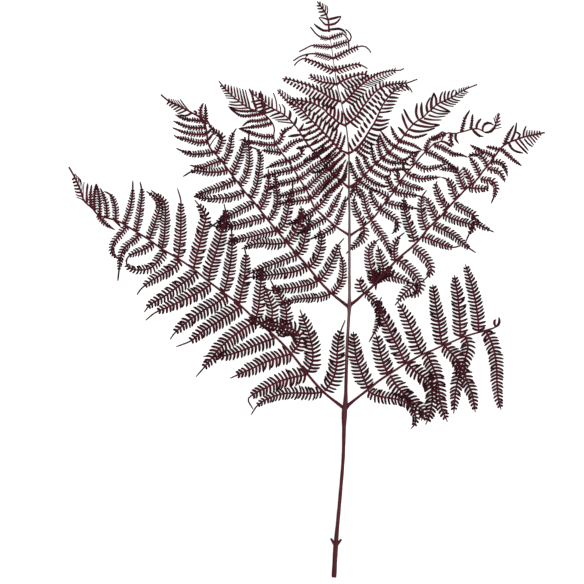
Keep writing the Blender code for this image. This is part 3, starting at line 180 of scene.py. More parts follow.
LEFT_2 = Pinna(
    "pinna_left_2",
    costa=[(4, 107), (-13.5, 121), (-27, 135), (-39, 150), (-49, 161), (-60, 174), (-70, 186), (-80, 198),
           (-88, 208), (-95, 217), (-104, 227), (-109, 234), (-116, 243), (-122, 251), (-128, 259),
           (-134, 266), (-139, 271), (-142, 279), (-143, 287), (-145, 297), (-150, 304), (-157, 308),
           (-166, 313), (-176, 318), (-184, 322), (-191, 328)],
    upper=[
        [(-12, 121), (-5, 129), (-1.5, 139), (-1.5, 152), (-5, 166)],
        [(-25, 134), (-19, 142), (-13, 153), (-9, 162), (-6, 171), (0, 178)],
        [(-36, 148), (-29, 156), (-25, 167), (-23.5, 178), (-26, 190)],
        [(-48, 161), (-43, 169), (-40.5, 180), (-38, 191), (-33, 203)],
        [(-59, 173), (-52, 182), (-48, 191), (-44, 200), (-45, 212)],
        [(-69, 185), (-62, 193), (-59, 205), (-56.5, 216), (-54, 227), (-53, 239)],
        [(-78, 197), (-72, 206), (-69.5, 217), (-70.5, 229), (-72.5, 250)],
        [(-88, 208), (-83, 216), (-80, 226), (-78.5, 237), (-79, 250)],
        [(-97, 220), (-92, 230), (-89.5, 240), (-88, 252), (-87, 263), (-90, 270), (-99, 273.5)],
        [(-109, 233), (-103, 241), (-99.5, 252), (-98.5, 264), (-99.5, 276), (-99, 291)],
        [(-117, 244), (-112, 254), (-107.5, 266), (-103.5, 277), (-103, 281), (-109, 280)],
        [(-126, 256), (-121, 265), (-118, 276), (-116.5, 285), (-112, 292.5)],
        [(-134, 266), (-130, 273), (-127, 281), (-129, 286), (-136, 290), (-144, 303)],
        *fan(3, [(-140, 274), (-137, 279), (-133, 284)], [(-143, 287), (-140, 290), (-138, 292)]),
        [(-145, 296), (-144, 305), (-144.5, 318)],
        [(-148, 302), (-150, 311), (-146.5, 319)],
        [(-155, 307), (-154, 309.5), (-157, 311)],
        [(-162, 311), (-166, 316), (-171, 323)],
        [(-166, 313), (-170, 317.5), (-173.5, 322)],
        *fan(4, [(-170, 315), (-173.5, 319), (-176, 322.5)], [(-182, 321), (-182.5, 322.5),
             (-182.5, 324)])],
    lower=[
        [(-14, 120), (-26, 116.5), (-40, 115.5), (-52, 114), (-60, 111), (-67, 109), (-76, 105)],
        [(-27, 133.5), (-38, 129.5), (-52, 126.5), (-66, 125), (-76, 123.5), (-86, 128)],
        [(-39, 149), (-49, 144), (-62, 141.5), (-76, 140), (-90, 138), (-104, 137)],
        [(-49, 160.5), (-61, 156), (-74, 151), (-88, 146), (-104, 138.5)],
        [(-60, 173.5), (-73, 172), (-87, 173), (-97, 171), (-107, 167)],
        [(-70, 186), (-84, 183), (-98, 179.5), (-111, 177), (-124, 172)],
        [(-82, 199.5), (-96, 196), (-111, 192), (-125, 189.5), (-136, 191), (-142, 196)],
        [(-94, 214.5), (-106, 208.5), (-119, 202), (-131, 195.5), (-142, 188)],
        [(-104, 226), (-115, 221.5), (-130, 219.5), (-144, 219.5), (-157, 221.5)],
        [(-113, 239), (-124, 233.5), (-137, 229), (-149, 225), (-157, 221.5)],
        [(-121, 249.5), (-132, 247), (-146, 247.5), (-157, 248.5), (-168, 242.5)],
        [(-128, 259), (-138, 255.5), (-149, 252), (-161, 254.5)],
        [(-136, 268), (-148, 266), (-162, 266.5), (-175, 272)],
        [(-142, 279), (-151, 277.5), (-163, 281), (-174, 283.5), (-177.5, 286)],
        [(-143, 287), (-154, 286.5), (-166, 288.5), (-179, 293.5)],
        [(-144, 294), (-154, 293), (-164, 294.5), (-178, 300.5)],
        [(-146, 300), (-155, 301), (-166, 302.5), (-176, 307)],
        *fan(2, [(-158, 309), (-165, 306), (-172, 307)], [(-164, 312), (-169, 309.5), (-174, 308)]),
        *fan(5, [(-168, 314), (-172, 312), (-176, 310)], [(-181, 320.5), (-183, 320), (-185, 317.5)])],
    lobes=[(0, 7.4), (0.3, 6.6), (0.6, 5.4), (0.75, 4), (0.83, 2.6), (0.86, 0)],
    tip_height=1.6)
LEFT_3 = Pinna(
    "pinna_left_3",
    costa=[(5.5, 181), (-9, 190.5), (-19, 199), (-30, 209), (-34.5, 218), (-39, 228), (-46, 239),
           (-52, 249), (-58, 258), (-65, 267), (-71, 276), (-73.5, 284), (-72.5, 292), (-76, 300),
           (-83, 307), (-91, 311), (-98, 313), (-104, 317), (-112, 323), (-118, 328), (-124, 334),
           (-130.5, 342)],
    upper=[
        [(-8, 191.5), (-5, 201), (-1, 210), (1.5, 222)],
        [(-18, 200), (-11, 211), (-6, 222), (-1, 231.5)],
        [(-29, 209), (-21, 217), (-14, 228), (-3, 237), (1, 244), (3.5, 258)],
        [(-34, 219), (-27, 228), (-20, 236), (-12, 244), (-5, 250), (2, 260)],
        [(-39, 229), (-31, 238), (-22, 246), (-12, 255), (-4, 262)],
        [(-46, 240), (-38, 246), (-28, 254), (-17, 260), (-8, 268)],
        [(-52, 250), (-44, 254), (-34, 262), (-24, 268), (-14, 275)],
        [(-58, 259), (-50, 262), (-43, 268), (-48, 274)],
        [(-64, 268), (-58, 274), (-50, 279), (-38, 281)],
        [(-70, 276), (-64, 284), (-64, 289), (-56, 293), (-52, 296)],
        [(-83, 308), (-84, 317), (-86, 325), (-87, 332)],
        [(-91, 312), (-94, 320), (-96, 328), (-99, 334)],
        *fan(8, [(-98, 313), (-100.5, 323), (-103, 333)], [(-124, 334), (-124, 336), (-123.5, 339)])],
    lower=[
        [(-9, 190.5), (-18, 184.5), (-27, 180.5), (-37, 176.5)],
        [(-19, 199), (-29, 193.5), (-39, 187.5), (-50, 181)],
        [(-30, 208), (-40, 201), (-50, 195.5), (-60, 192)],
        [(-35, 218.5), (-47, 217), (-60, 215.5), (-73, 213)],
        [(-40, 229), (-51, 226.5), (-62, 223), (-73, 222)],
        [(-47, 239), (-59, 236.5), (-71, 233.5), (-84, 226)],
        [(-53, 249.5), (-65, 247), (-78, 244), (-90, 240)],
        [(-59, 258), (-69, 256), (-82, 251)],
        [(-65, 267), (-75, 268.5), (-86, 270)],
        [(-71, 275.5), (-82, 275.5), (-94, 278), (-106, 280)],
        [(-73.5, 284), (-84, 284), (-97, 288), (-110, 292.5)],
        [(-75, 298), (-86, 295.5), (-98, 294), (-110, 292.5)],
        [(-79, 303), (-89, 300.5), (-99, 300), (-106, 295)],
        [(-84, 308), (-94, 306.5), (-105, 305.5), (-113, 309), (-120, 315)],
        [(-91, 311), (-103, 310.5), (-112, 311.5), (-120, 315)],
        *fan(3, [(-100, 314), (-110, 313.5), (-121, 315.5)], [(-109, 320.5), (-114, 320), (-120, 320.5)]),
        *fan(6, [(-112, 323), (-118, 324), (-123, 324.5)], [(-127, 337.5), (-128, 337), (-129.5, 336)])],
    lobes=[(0, 5.2), (0.25, 4.8), (0.5, 4), (0.62, 3), (0.76, 2), (0.78, 0)],
    tip_height=2.0)
LEFT_4 = Pinna(
    "pinna_left_4",
    costa=[(5, 230.5), (-2, 236.5), (-14, 247), (-25, 262), (-36.5, 274), (-48, 291.5), (-58, 303),
           (-66, 309), (-75, 313.5), (-84, 319), (-92, 326), (-99, 333)],
    upper=[
        [(-2, 237), (0.5, 243), (2, 250), (3.5, 260)],
        [(-8, 242), (-5, 248.5), (2, 260)],
        *fan(4, [(-14, 248), (-9, 255), (-4, 262)], [(-36, 274), (-30, 279), (-25, 284)]),
        *fan(4, [(-42, 283), (-37, 288), (-33, 293)], [(-57, 302), (-56, 309), (-58, 314)]),
        [(-62, 307), (-62, 314), (-67, 320)],
        [(-66, 310), (-66.5, 315), (-69, 320)],
        [(-70, 312), (-71, 322), (-75.5, 334)],
        *fan(7, [(-75, 314), (-75, 321), (-75, 327)], [(-95, 329), (-95, 331), (-95.5, 334)])],
    lower=[
        [(-3, 237), (-9, 231.5), (-16, 226), (-24, 220)],
        [(-9, 243), (-15, 237), (-22, 229), (-28, 222)],
        *fan(4, [(-18, 252), (-26, 248), (-35, 245)], [(-45, 286), (-53, 285), (-60, 284)]),
        *fan(4, [(-54, 298), (-62, 299), (-71, 300)], [(-66, 309), (-73, 307), (-79, 304)]),
        *fan(5, [(-72, 312), (-80, 309), (-88, 307)], [(-88, 322), (-93, 321), (-98, 320)])],
    lobes=[(0, 2.8), (0.3, 2.2), (0.48, 1.5), (0.5, 0)],
    tip_height=2.0)
LEFT_5 = Pinna(
    "pinna_left_5",
    costa=[(5, 266), (-4, 270), (-8, 274), (-12, 278.5), (-16, 283), (-22, 289), (-28, 295.5), (-33, 300),
           (-38.5, 305.5), (-43, 311), (-48, 315), (-56, 318), (-62, 324), (-69.5, 333)],
    upper=[
        *fan(12, [(-4, 270.5), (-1, 278), (1, 286)], [(-44, 313), (-43.5, 316), (-43, 319)]),
        *fan(8, [(-48, 315), (-48, 319), (-49, 322)], [(-67, 330), (-66.5, 332), (-67, 334)])],
    lower=[
        *fan(9, [(1, 266), (-7, 257.5), (-16, 249), (-26, 244), (-35, 240.5)], [(-29, 297), (-37, 292.5),
             (-46, 290.5), (-55, 289.5), (-63, 288.5)]),
        [(-33, 300), (-39, 298), (-45, 295)],
        *fan(4, [(-37, 304), (-43, 301), (-49, 299.5)], [(-44, 312), (-50, 309), (-56, 306.5)]),
        *fan(8, [(-47, 314), (-52, 312), (-58, 310)], [(-67, 330), (-69, 329), (-71, 329)])],
    lobes=[(0, 1.7), (0.35, 1.5), (0.52, 1.2), (0.55, 0)],
    tip_height=3.0)
LEFT_6 = Pinna(
    "pinna_left_6",
    costa=[(1.5, 295.5), (-5, 298), (-8.5, 301), (-12, 304), (-17, 308), (-21, 312.5), (-28, 316.5),
           (-34, 319.5), (-42, 321), (-50, 322.5), (-57, 322.5)],
    upper=[
        *fan(6, [(-3, 297.5), (-2, 304), (-2.5, 311)], [(-22, 313.5), (-21.5, 318), (-21, 323)]),
        *fan(8, [(-26, 316), (-26.5, 320), (-26.5, 325.5)], [(-55, 322.5), (-56.5, 323.5),
             (-58.5, 325)])],
    lower=[
        *fan(7, [(-5, 298), (-9, 292), (-14, 287)], [(-28, 316), (-32, 312.5), (-36, 309)]),
        *fan(6, [(-31, 318), (-35, 314), (-38, 311)], [(-52, 322.5), (-54, 320), (-57, 318)])],
    tip_height=2.6)
LEFT_7 = Pinna(
    "pinna_left_7",
    costa=[(-3, 320.5), (-12, 323), (-20, 328), (-28, 333), (-38, 338), (-48, 341), (-57, 343.5),
           (-64.5, 344.5)],
    upper=fan(14, [(-6, 321.5), (-7, 327), (-9, 333)], [(-60, 344), (-60.5, 346), (-61, 347)]),
    lower=fan(16, [(-6, 321), (-10, 316), (-14, 311)], [(-61, 344), (-62, 342.5), (-63, 341.5)]),
    tip_height=3.2)
LEFT_8 = Pinna(
    "pinna_left_8",
    costa=[(-8, 338.5), (-16, 340), (-24, 341), (-30, 344), (-36, 348.5)],
    upper=fan(8, [(-10, 339), (-11, 343), (-12, 346)], [(-33, 346), (-34, 348), (-34.5, 350)]),
    lower=fan(8, [(-10, 338.5), (-13, 335), (-16, 332)], [(-33, 346), (-36, 345), (-38, 345)]),
    tip_height=3.4)
LEFT_9 = Pinna(
    "pinna_left_9",
    costa=[(-9, 352.5), (-15, 354.5), (-22, 357.5), (-28, 361), (-35, 363.5), (-42, 365.5), (-48, 362.5),
           (-52, 358)],
    upper=fan(9, [(-11, 353.5), (-12, 356), (-13.5, 358)], [(-39, 365), (-39.8, 366), (-40.5, 367)]),
    lower=fan(9, [(-11, 353), (-13.5, 350.5), (-16, 349)], [(-39, 364.5), (-40, 363), (-41, 362)]),
    tip_height=3.2)
LEFT_10 = Pinna(
    "pinna_left_10",
    costa=[(-11.5, 365.5), (-18, 367.5), (-25, 369.5), (-31, 370.5), (-38, 370), (-46, 367.5),
           (-53, 363)],
    upper=fan(7, [(-13.5, 366.5), (-14.5, 368.5), (-16, 370)], [(-28, 370.2), (-29, 371.5),
              (-30, 372.5)]),
    lower=[
        *fan(7, [(-13.5, 365.8), (-15.5, 364), (-17.5, 363)], [(-28, 369.6), (-29.5, 368), (-31, 367.5)]),
        [(-38, 369.8), (-39, 368.3), (-40, 367.5)]],
    tip_height=3.0)
LEFT_11 = Pinna(
    "pinna_left_11",
    costa=[(-13, 377), (-20, 377.5), (-28, 378.5), (-34, 379), (-40, 376), (-47, 372.5)],
    upper=fan(7, [(-15, 377.6), (-16, 379.3), (-17.5, 380.5)], [(-30, 379), (-31, 380), (-32, 380.8)]),
    lower=fan(7, [(-15, 377), (-16.5, 375.5), (-18, 374.5)], [(-30, 378.5), (-31, 377.3), (-32, 376.5)]),
    tip_height=2.8)
LEFT_12 = Pinna(
    "pinna_left_12",
    costa=[(-14.5, 386), (-20, 386.5), (-25, 388), (-30, 392), (-35, 398.5)],
    upper=fan(4, [(-16.5, 386.5), (-17.3, 387.7), (-18.3, 388.7)], [(-22.5, 387.6), (-23.2, 388.9),
              (-24, 390)]),
    lower=fan(4, [(-16.5, 386), (-18, 384.7), (-19.5, 384)], [(-22.5, 387), (-24, 385.8),
              (-25.2, 385.3)]),
    tip_height=3.0)
RIGHT_1 = Pinna(
    "pinna_right_1",
    costa=[(5, 5), (15, 13), (26, 21.5), (36, 29.5), (46.5, 36.5), (55, 42), (64.5, 48), (73, 52.5),
           (82, 57.5), (91, 61), (102, 66), (112, 70), (122, 74.5), (131, 77.5), (140, 80), (149, 82.5),
           (157, 85), (158.5, 87), (156.5, 89.5), (156.5, 93)],
    upper=[
        [(25, 21.5), (20, 33), (16, 44), (12.5, 54), (11, 66), (9.5, 81)],
        [(46, 36.5), (41.5, 46), (38, 57), (35.5, 68), (33, 78)],
        [(63, 48), (57.5, 61), (51, 74), (45, 87), (39, 99), (36, 110), (39, 117)],
        [(81, 57.5), (76, 68), (71, 81), (65.5, 94), (60, 105), (56, 111)],
        [(102, 66.5), (100, 78), (98.5, 90), (96, 104), (94, 117), (92, 130)],
        [(121, 75), (120.5, 88), (119.5, 103), (118, 118), (116, 130), (114.5, 140)],
        [(140, 80.5), (139.5, 93), (137, 110), (133, 128), (129, 141), (126, 151)]],
    lower=[
        [(25, 19), (33, 14.5), (45, 12), (57, 10), (66, 6), (72, -1), (75, -9), (73.5, -16),
         (69.5, -20.5)],
        [(48, 35.5), (53, 27), (60, 18), (68, 11), (75, 4), (81, 0), (83, -5), (80.5, -12)],
        [(66, 48), (73, 40.5), (82, 34), (89, 27), (92, 17), (91.5, 5), (89, -7), (85, -16.5)],
        [(85, 58.5), (90, 49.5), (95, 37), (98, 25), (99.5, 12), (102.5, -1), (108, -13.5)],
        [(104, 67), (111, 59), (118, 51), (124, 39), (129, 27), (134, 14), (137, -3.5)],
        [(126, 75.5), (129, 67), (127.5, 57), (122.5, 44), (118.5, 30), (116, 15), (114.5, -5)],
        [(147, 82), (152.5, 72), (157, 58), (159, 43), (159.5, 28), (161, 11), (164, -1)]],
    lobes=[(0, 10.5), (0.5, 9.8), (1, 8.2)],
    tip_height=6.4)
RIGHT_2 = Pinna(
    "pinna_right_2",
    costa=[(7, 109), (13.5, 114), (20, 120), (29, 127.5), (37, 137), (45, 145), (53, 153.5), (60, 160),
           (66, 165), (73, 171), (81, 180), (87, 187.5), (94, 194.5), (100, 200), (107, 208), (114, 216),
           (120, 222), (127, 229.5), (134, 235), (140, 241), (144, 247), (150, 254), (156, 262),
           (162, 270), (166, 274.5), (173, 278.5), (180, 281), (187, 283.5), (195, 285.5), (203, 287),
           (209.5, 288.5)],
    upper=[
        [(20, 121.5), (17.5, 127), (16, 133), (18.5, 138.5)],
        [(31, 130), (29.5, 140), (27, 151), (25.5, 161), (26.5, 168), (31, 173), (37, 177.5)],
        [(40, 138), (41, 146), (38.5, 156), (36, 165), (35, 171)],
        [(53, 154), (52, 163), (53, 172), (57, 179), (63, 184)],
        [(73, 174), (70.5, 184), (67, 193), (64, 202), (62, 212), (62.5, 222)],
        [(86, 186.5), (82.5, 195), (80.5, 205), (80, 214), (81.5, 222), (86, 228)],
        [(98, 197.5), (93, 204), (89.5, 211), (87.5, 217), (83, 222)],
        [(108, 209), (103, 213.5), (99.5, 220.5), (97, 227), (95, 232), (97, 238)],
        [(118, 219.5), (113.5, 226), (112, 233), (108, 239), (101, 241.5)],
        [(126, 229), (122, 236), (119.5, 244), (117, 249), (107, 250.5), (99, 249)],
        [(133, 233), (131.5, 240), (128, 246), (123.5, 252.5)],
        [(142, 243), (138, 251), (134, 258), (129.5, 263.5)],
        [(150, 253), (146, 260), (141, 265), (134, 265.5), (129, 263)],
        [(157, 263), (150, 266.5), (142, 269), (131, 275.5)],
        [(163, 270), (155, 272), (147.5, 273.5)],
        [(167, 275), (170.5, 284), (177, 296)],
        [(174, 279), (178, 288), (180, 299)],
        [(181, 281.5), (183.5, 286), (179, 289)],
        [(187, 283), (187.5, 289), (190, 295.5)],
        *fan(6, [(190, 284), (190.5, 288), (191, 291)], [(204, 287.5), (204, 289), (204, 290.5)])],
    lower=[
        [(22, 121), (30, 114), (35, 106), (36.5, 96), (34.5, 87), (30.5, 78), (26, 70)],
        [(34, 133), (33, 128), (33, 124)],
        [(38, 138), (48, 138.5), (58, 136), (66, 133), (73, 131)],
        [(56, 156), (63, 150.5), (70, 144), (76, 137), (79.5, 130), (77.5, 122), (71, 118.5), (63, 117)],
        [(72, 168), (79, 163), (85, 157), (90, 150), (90.5, 143), (86, 137), (81.5, 133)],
        [(81, 180), (92, 176), (103, 171.5), (113, 168.5), (122, 170.5)],
        [(93, 192), (102, 187.5), (111, 183), (119, 177), (128, 169.5), (137.5, 163)],
        [(103, 203), (110, 199.5), (117, 197), (127, 194), (136, 191), (131.5, 184.5), (127, 174.5)],
        [(115, 215), (121, 209.5), (129, 205.5), (136.5, 201), (137.5, 195), (144, 190.5),
         (156.5, 184.5)],
        [(129, 231), (137, 230), (145, 230), (150, 229.5), (149.5, 236)],
        [(142, 240), (149, 238.5), (155, 237.5), (158.5, 231), (157, 223), (153.5, 214.5)],
        [(150, 252), (153, 249.5), (161, 248), (166, 241.5), (168, 236.5)],
        [(152, 257), (158, 258), (164, 256.5), (168, 252), (170.5, 242.5)],
        [(164, 271), (170, 266), (176, 260.5), (185.5, 253.5)],
        [(172, 278), (174, 273), (179, 269), (187, 267)],
        [(178, 281), (183, 275), (192, 266)],
        [(183, 281), (188, 275), (192.5, 269.5)],
        [(188, 282), (192, 277), (197, 273.5)],
        *fan(5, [(191, 283.5), (195, 279), (198, 275)], [(203, 287), (205, 286), (206, 285.5)])],
    lobes=[(0, 7.4), (0.3, 6.6), (0.6, 5.2), (0.75, 3.8), (0.84, 2.4), (0.86, 0)],
    tip_height=1.0)
RIGHT_3 = Pinna(
    "pinna_right_3",
    costa=[(6.5, 181), (17.5, 188.5), (22, 192), (29, 197.5), (34, 203.5), (38.5, 209.5), (43, 216),
           (48, 221.5), (52.5, 227.5), (58, 236.5), (65.5, 246.5), (73, 254.5), (78, 261), (84.5, 268),
           (90, 273), (94, 277), (101, 279), (104, 285), (108, 288), (115, 287), (121, 288.5), (127, 290),
           (134, 292), (141, 292), (147, 288.5), (154, 291), (158, 297), (160.5, 303), (161.5, 309)],
    upper=[
        [(21, 191.5), (17, 198), (13, 205.5), (10.5, 212), (10, 219), (12.5, 224)],
        [(29, 197.5), (25, 204), (22, 213), (20.5, 221), (16, 231)],
        [(38, 209), (32.5, 213.5), (29, 219.5), (27, 228)],
        [(47, 220.5), (40, 224), (34, 227.5), (28, 229)],
        [(52, 227), (47.5, 233), (45.5, 240), (43, 244)],
        [(58, 236), (55, 242), (57, 249)],
        [(65, 246), (62, 251), (61, 258)],
        [(73, 254), (71.5, 260), (75, 266.5), (80, 269)],
        [(84.5, 268), (86, 274), (89.5, 281), (96, 284), (103, 289.5)],
        [(122, 289), (124, 295), (126, 303), (131, 311.5)],
        [(132, 292), (133, 298), (134, 307.5)],
        [(138, 292.5), (138.5, 297), (143, 302.5)],
        *fan(3, [(158, 298), (157, 301), (156, 304)], [(160, 304), (159.7, 306), (159.5, 308)])],
    lower=[
        [(20, 190), (21, 182), (17, 175.5), (11, 170.5), (2, 162)],
        [(29, 196), (35, 187), (42, 177), (46.5, 167), (50, 157)],
        [(38, 208), (45, 203.5), (52, 199), (56, 194.5), (55, 188), (49.5, 182.5)],
        [(43, 216), (49, 213.5), (56, 212), (64, 210.5), (80, 208.5)],
        [(52, 227), (60, 225), (70, 223.5), (82, 221.5)],
        [(58, 237), (64, 234), (73, 231), (84, 229)],
        [(66, 246), (72, 242), (81, 240), (91, 241), (101, 242)],
        [(75, 256), (83, 250.5), (92, 251), (99, 253), (107, 256)],
        [(84.5, 268), (92, 266), (100, 261.5), (107, 257.5), (113, 253), (120, 249)],
        [(93.5, 275), (101, 273), (108, 269.5), (114, 265.5), (122, 265), (129, 262.5)],
        [(101, 279), (106, 278), (110, 275), (113, 273)],
        [(134, 292), (137, 288), (142, 283.5)],
        *fan(5, [(157, 292), (161, 293), (164.5, 294)], [(161, 305), (162, 306.5), (162.5, 308)])],
    lobes=[(0, 5.6), (0.3, 4.8), (0.5, 4), (0.68, 2.8), (0.8, 1.6), (0.84, 0)],
    tip_height=2.0)
RIGHT_4 = Pinna(
    "pinna_right_4",
    costa=[(5, 231), (10, 234), (15, 238), (21, 243.5), (27, 250), (33, 256), (40, 261.5), (46, 267),
           (53, 273.5), (58, 279), (63, 286), (67, 291), (72, 297), (78, 301.5), (83, 304.5), (87, 309),
           (91.5, 312.5), (96, 317), (100, 319.5), (105, 321.5), (109, 323.5), (112.5, 325), (117, 328),
           (121, 330.5), (125, 332.5), (129, 334.5), (139, 338.5)],
    upper=[
        [(15, 238), (11, 244), (8, 251), (6.5, 258)],
        [(21, 243), (17.5, 250), (14.5, 257), (12.5, 264)],
        [(27, 250), (23, 257), (20, 263)],
        [(33, 256), (30.5, 262), (29, 269), (28, 277)],
        [(40, 261), (37, 268), (35.5, 276), (36, 285)],
        [(46, 267), (42, 274), (38.5, 281), (37, 287)],
        [(53, 273), (47, 277.5), (43, 283), (38, 290)],
        [(58, 279), (53.5, 284), (51, 289), (48.5, 295)],
        [(63, 286), (60, 290), (56, 294)],
        [(66, 292), (63, 299), (60, 308)],
        [(72, 297), (67, 303), (62, 313)],
        [(78, 301), (75, 308), (76, 319)],
        [(82, 304), (80.5, 312), (81, 320)],
        [(87, 309), (86, 317), (90, 325)],
        [(91, 312), (91, 321), (93.5, 330)],
        [(96, 317), (96, 323), (93.5, 330)],
        [(100, 319), (100.5, 326), (103, 331)],
        [(105, 321), (104.5, 327), (106, 332)],
        [(108, 323), (108.5, 328), (110, 332)],
        [(112, 324.5), (112.5, 330), (115, 333)],
        [(116, 327), (117, 330), (116, 333)],
        *fan(5, [(120, 330), (120, 332.5), (120, 334.5)], [(129, 334.5), (129.5, 336), (130, 337)])],
    lower=[
        [(9, 233), (10, 229), (6, 222), (1, 216)],
        [(13, 236), (13, 229), (15, 224), (18.5, 219)],
        [(15, 238), (21, 234), (28, 229), (36, 226)],
        [(21, 243), (28, 237.5), (36, 233.5), (46, 231.5)],
        [(27, 250), (35, 245), (42, 241.5), (47.5, 243), (48.5, 248)],
        [(33, 256), (40, 252), (48, 248.5), (56, 250), (70, 250)],
        [(40, 261), (46, 258), (53, 256), (61, 257), (70, 253.5)],
        [(46, 267), (53, 263), (61, 259), (66, 261), (71, 266)],
        [(53, 273), (60, 270), (68, 267.5), (74, 267.5), (79, 269.5)],
        [(58, 279), (66, 277), (74, 274), (82, 269.5)],
        [(63, 286), (68, 285), (73, 283), (80, 284.5), (87, 287)],
        [(66, 292), (75, 289.5), (85, 290), (95, 293)],
        [(72, 297), (80, 295), (90, 294), (100, 296)],
        [(78, 301), (85, 298.5), (92, 297), (100, 296.5)],
        [(83, 303), (92, 301.5), (102, 301.5)],
        [(88, 306.5), (96, 304.5), (106, 305.5)],
        [(90, 311), (98, 308), (109, 308)],
        [(93, 313.5), (101, 311), (111, 309.5)],
        [(97, 317), (104, 313.5), (111, 310)],
        *fan(4, [(101, 319.5), (108, 316.5), (114.5, 315.5)], [(112, 324), (117, 322), (121.5, 321.5)]),
        *fan(4, [(115, 326), (120, 325), (124.5, 325)], [(125, 331.5), (128, 330.5), (130, 330.5)])],
    lobes=[(0, 3.8), (0.3, 3.2), (0.45, 2.2), (0.5, 0)],
    tip_height=2.4)
RIGHT_5 = Pinna(
    "pinna_right_5",
    costa=[(5, 266.5), (9, 268.5), (14, 273), (18, 277.5), (22, 283), (25, 288), (28, 293), (31, 297),
           (33, 301), (35, 305), (36.5, 309), (38.5, 313.5), (41, 318), (43.5, 322), (46.5, 325.5),
           (49.5, 329), (53, 332), (59.5, 335.5), (66, 336.5), (69, 334), (71, 330)],
    upper=[
        *fan(13, [(9, 269), (5.5, 276), (4, 284)], [(46, 325.5), (42, 329), (38, 332.5)]),
        *fan(4, [(49.5, 329), (47, 332.5), (45, 336)], [(59, 335.5), (59, 338), (58, 340)])],
    lower=[
        *fan(6, [(12, 271), (18, 265), (26, 261)], [(25, 288), (31, 285.5), (37, 284.5)]),
        *fan(3, [(28, 292.5), (37, 291), (46, 295)], [(33, 301), (40, 300.5), (48, 302)]),
        [(35, 305), (38, 304.5), (40.5, 304.5)],
        *fan(6, [(36.5, 309), (43, 309.5), (50, 311)], [(49, 329), (54, 328.5), (59, 327.5)]),
        *fan(4, [(52, 331.5), (55, 331), (58, 331)], [(64, 336.5), (66, 334), (68, 332)])],
    lobes=[(0, 2.2), (0.25, 1.8), (0.35, 0)],
    tip_height=4.6)
RIGHT_6 = Pinna(
    "pinna_right_6",
    costa=[(2, 296.5), (6, 299), (10, 302), (13.5, 306), (16, 309.5), (18.5, 313.5), (21.5, 317.5),
           (24.5, 321), (27.5, 325), (30.5, 328.5), (34.5, 332), (38.5, 335), (43.5, 337.5), (50, 338.5),
           (57, 339.5), (65.5, 340), (76.5, 344)],
    upper=[
        *fan(11, [(6, 299), (1, 305), (-1, 311)], [(34, 332), (33, 336), (33, 339)]),
        *fan(9, [(38, 334.5), (37.5, 338), (37, 341.5)], [(63, 340), (64, 341.5), (65.5, 343)])],
    lower=[
        *fan(11, [(7, 299), (14, 293.5), (20, 291)], [(38, 334.5), (42, 330.5), (44, 326)]),
        *fan(7, [(42, 337), (47, 333.5), (51, 331)], [(64, 339.5), (66, 337), (68, 335)])],
    tip_height=2.0)
RIGHT_7 = Pinna(
    "pinna_right_7",
    costa=[(-1, 319.5), (3, 322.5), (6, 325.5), (9, 329), (13, 333.5), (17.5, 337.5), (25, 343),
           (33, 348.5), (42, 351.5), (52.5, 353), (58, 353), (62.5, 355)],
    upper=[
        *fan(6, [(2, 322), (-1, 327), (-3, 331)], [(17, 337), (15, 341), (14, 344)]),
        *fan(12, [(20, 339.5), (19, 343.5), (19, 347)], [(52, 353), (53, 354.5), (54, 356)])],
    lower=[
        *fan(7, [(2, 321.5), (8, 318), (12, 315)], [(17, 336.5), (22, 336), (26, 334.5)]),
        *fan(12, [(20, 339), (26, 337), (30, 336)], [(52, 352.5), (53, 351), (54, 350)])],
    tip_height=3.2)
RIGHT_8 = Pinna(
    "pinna_right_8",
    costa=[(-7.5, 338.5), (-2, 342), (4, 344.5), (11, 347.5), (17.5, 349.5), (22, 348.5), (26, 347.5)],
    upper=fan(8, [(-4, 341), (-6, 345), (-7, 348)], [(22, 348.5), (23, 351), (24, 353)]),
    lower=fan(8, [(-4, 340.5), (0, 336), (4, 333)], [(22, 348), (25, 346), (28, 344)]),
    tip_height=3.4)
RIGHT_9 = Pinna(
    "pinna_right_9",
    costa=[(-10, 352.5), (0, 356), (8, 358.3), (15, 359.5), (20, 357.5), (24.5, 355)],
    upper=fan(8, [(-7.5, 353.5), (-8.5, 356), (-8.5, 358)], [(15, 359.7), (15.7, 361), (16.5, 362)]),
    lower=fan(8, [(-7.5, 353), (-5.5, 350.5), (-3.5, 349.5)], [(15, 359), (16.5, 357.5), (17.7, 356.5)]),
    tip_height=3.2)
RIGHT_10 = Pinna(
    "pinna_right_10",
    costa=[(-11.5, 365.5), (-5, 368.5), (2, 372.5), (8, 375.5), (14, 377.5), (20, 378.5), (25, 376),
           (28, 371.5)],
    upper=fan(9, [(-8.5, 367), (-9, 369), (-9, 371)], [(13, 377.3), (13.5, 378.8), (14, 380)]),
    lower=fan(9, [(-8.5, 366.6), (-7, 364.5), (-5.5, 363.5)], [(13, 376.8), (14, 375), (15, 374)]),
    tip_height=3.0)
RIGHT_11 = Pinna(
    "pinna_right_11",
    costa=[(-13, 377.5), (-5, 380), (0, 382), (5, 383), (7.5, 387), (6, 392), (1.5, 396)],
    upper=fan(6, [(-10, 378.8), (-10.5, 380.7), (-10, 382.3)], [(2, 382.7), (2, 384.2), (2, 385.7)]),
    lower=[
        *fan(6, [(-10, 378), (-8.5, 376.3), (-7, 375.2)], [(1.5, 382), (2.3, 380), (2.8, 378.6)]),
        [(4.5, 383), (5, 379), (5, 375.5)]],
    tip_height=2.8)
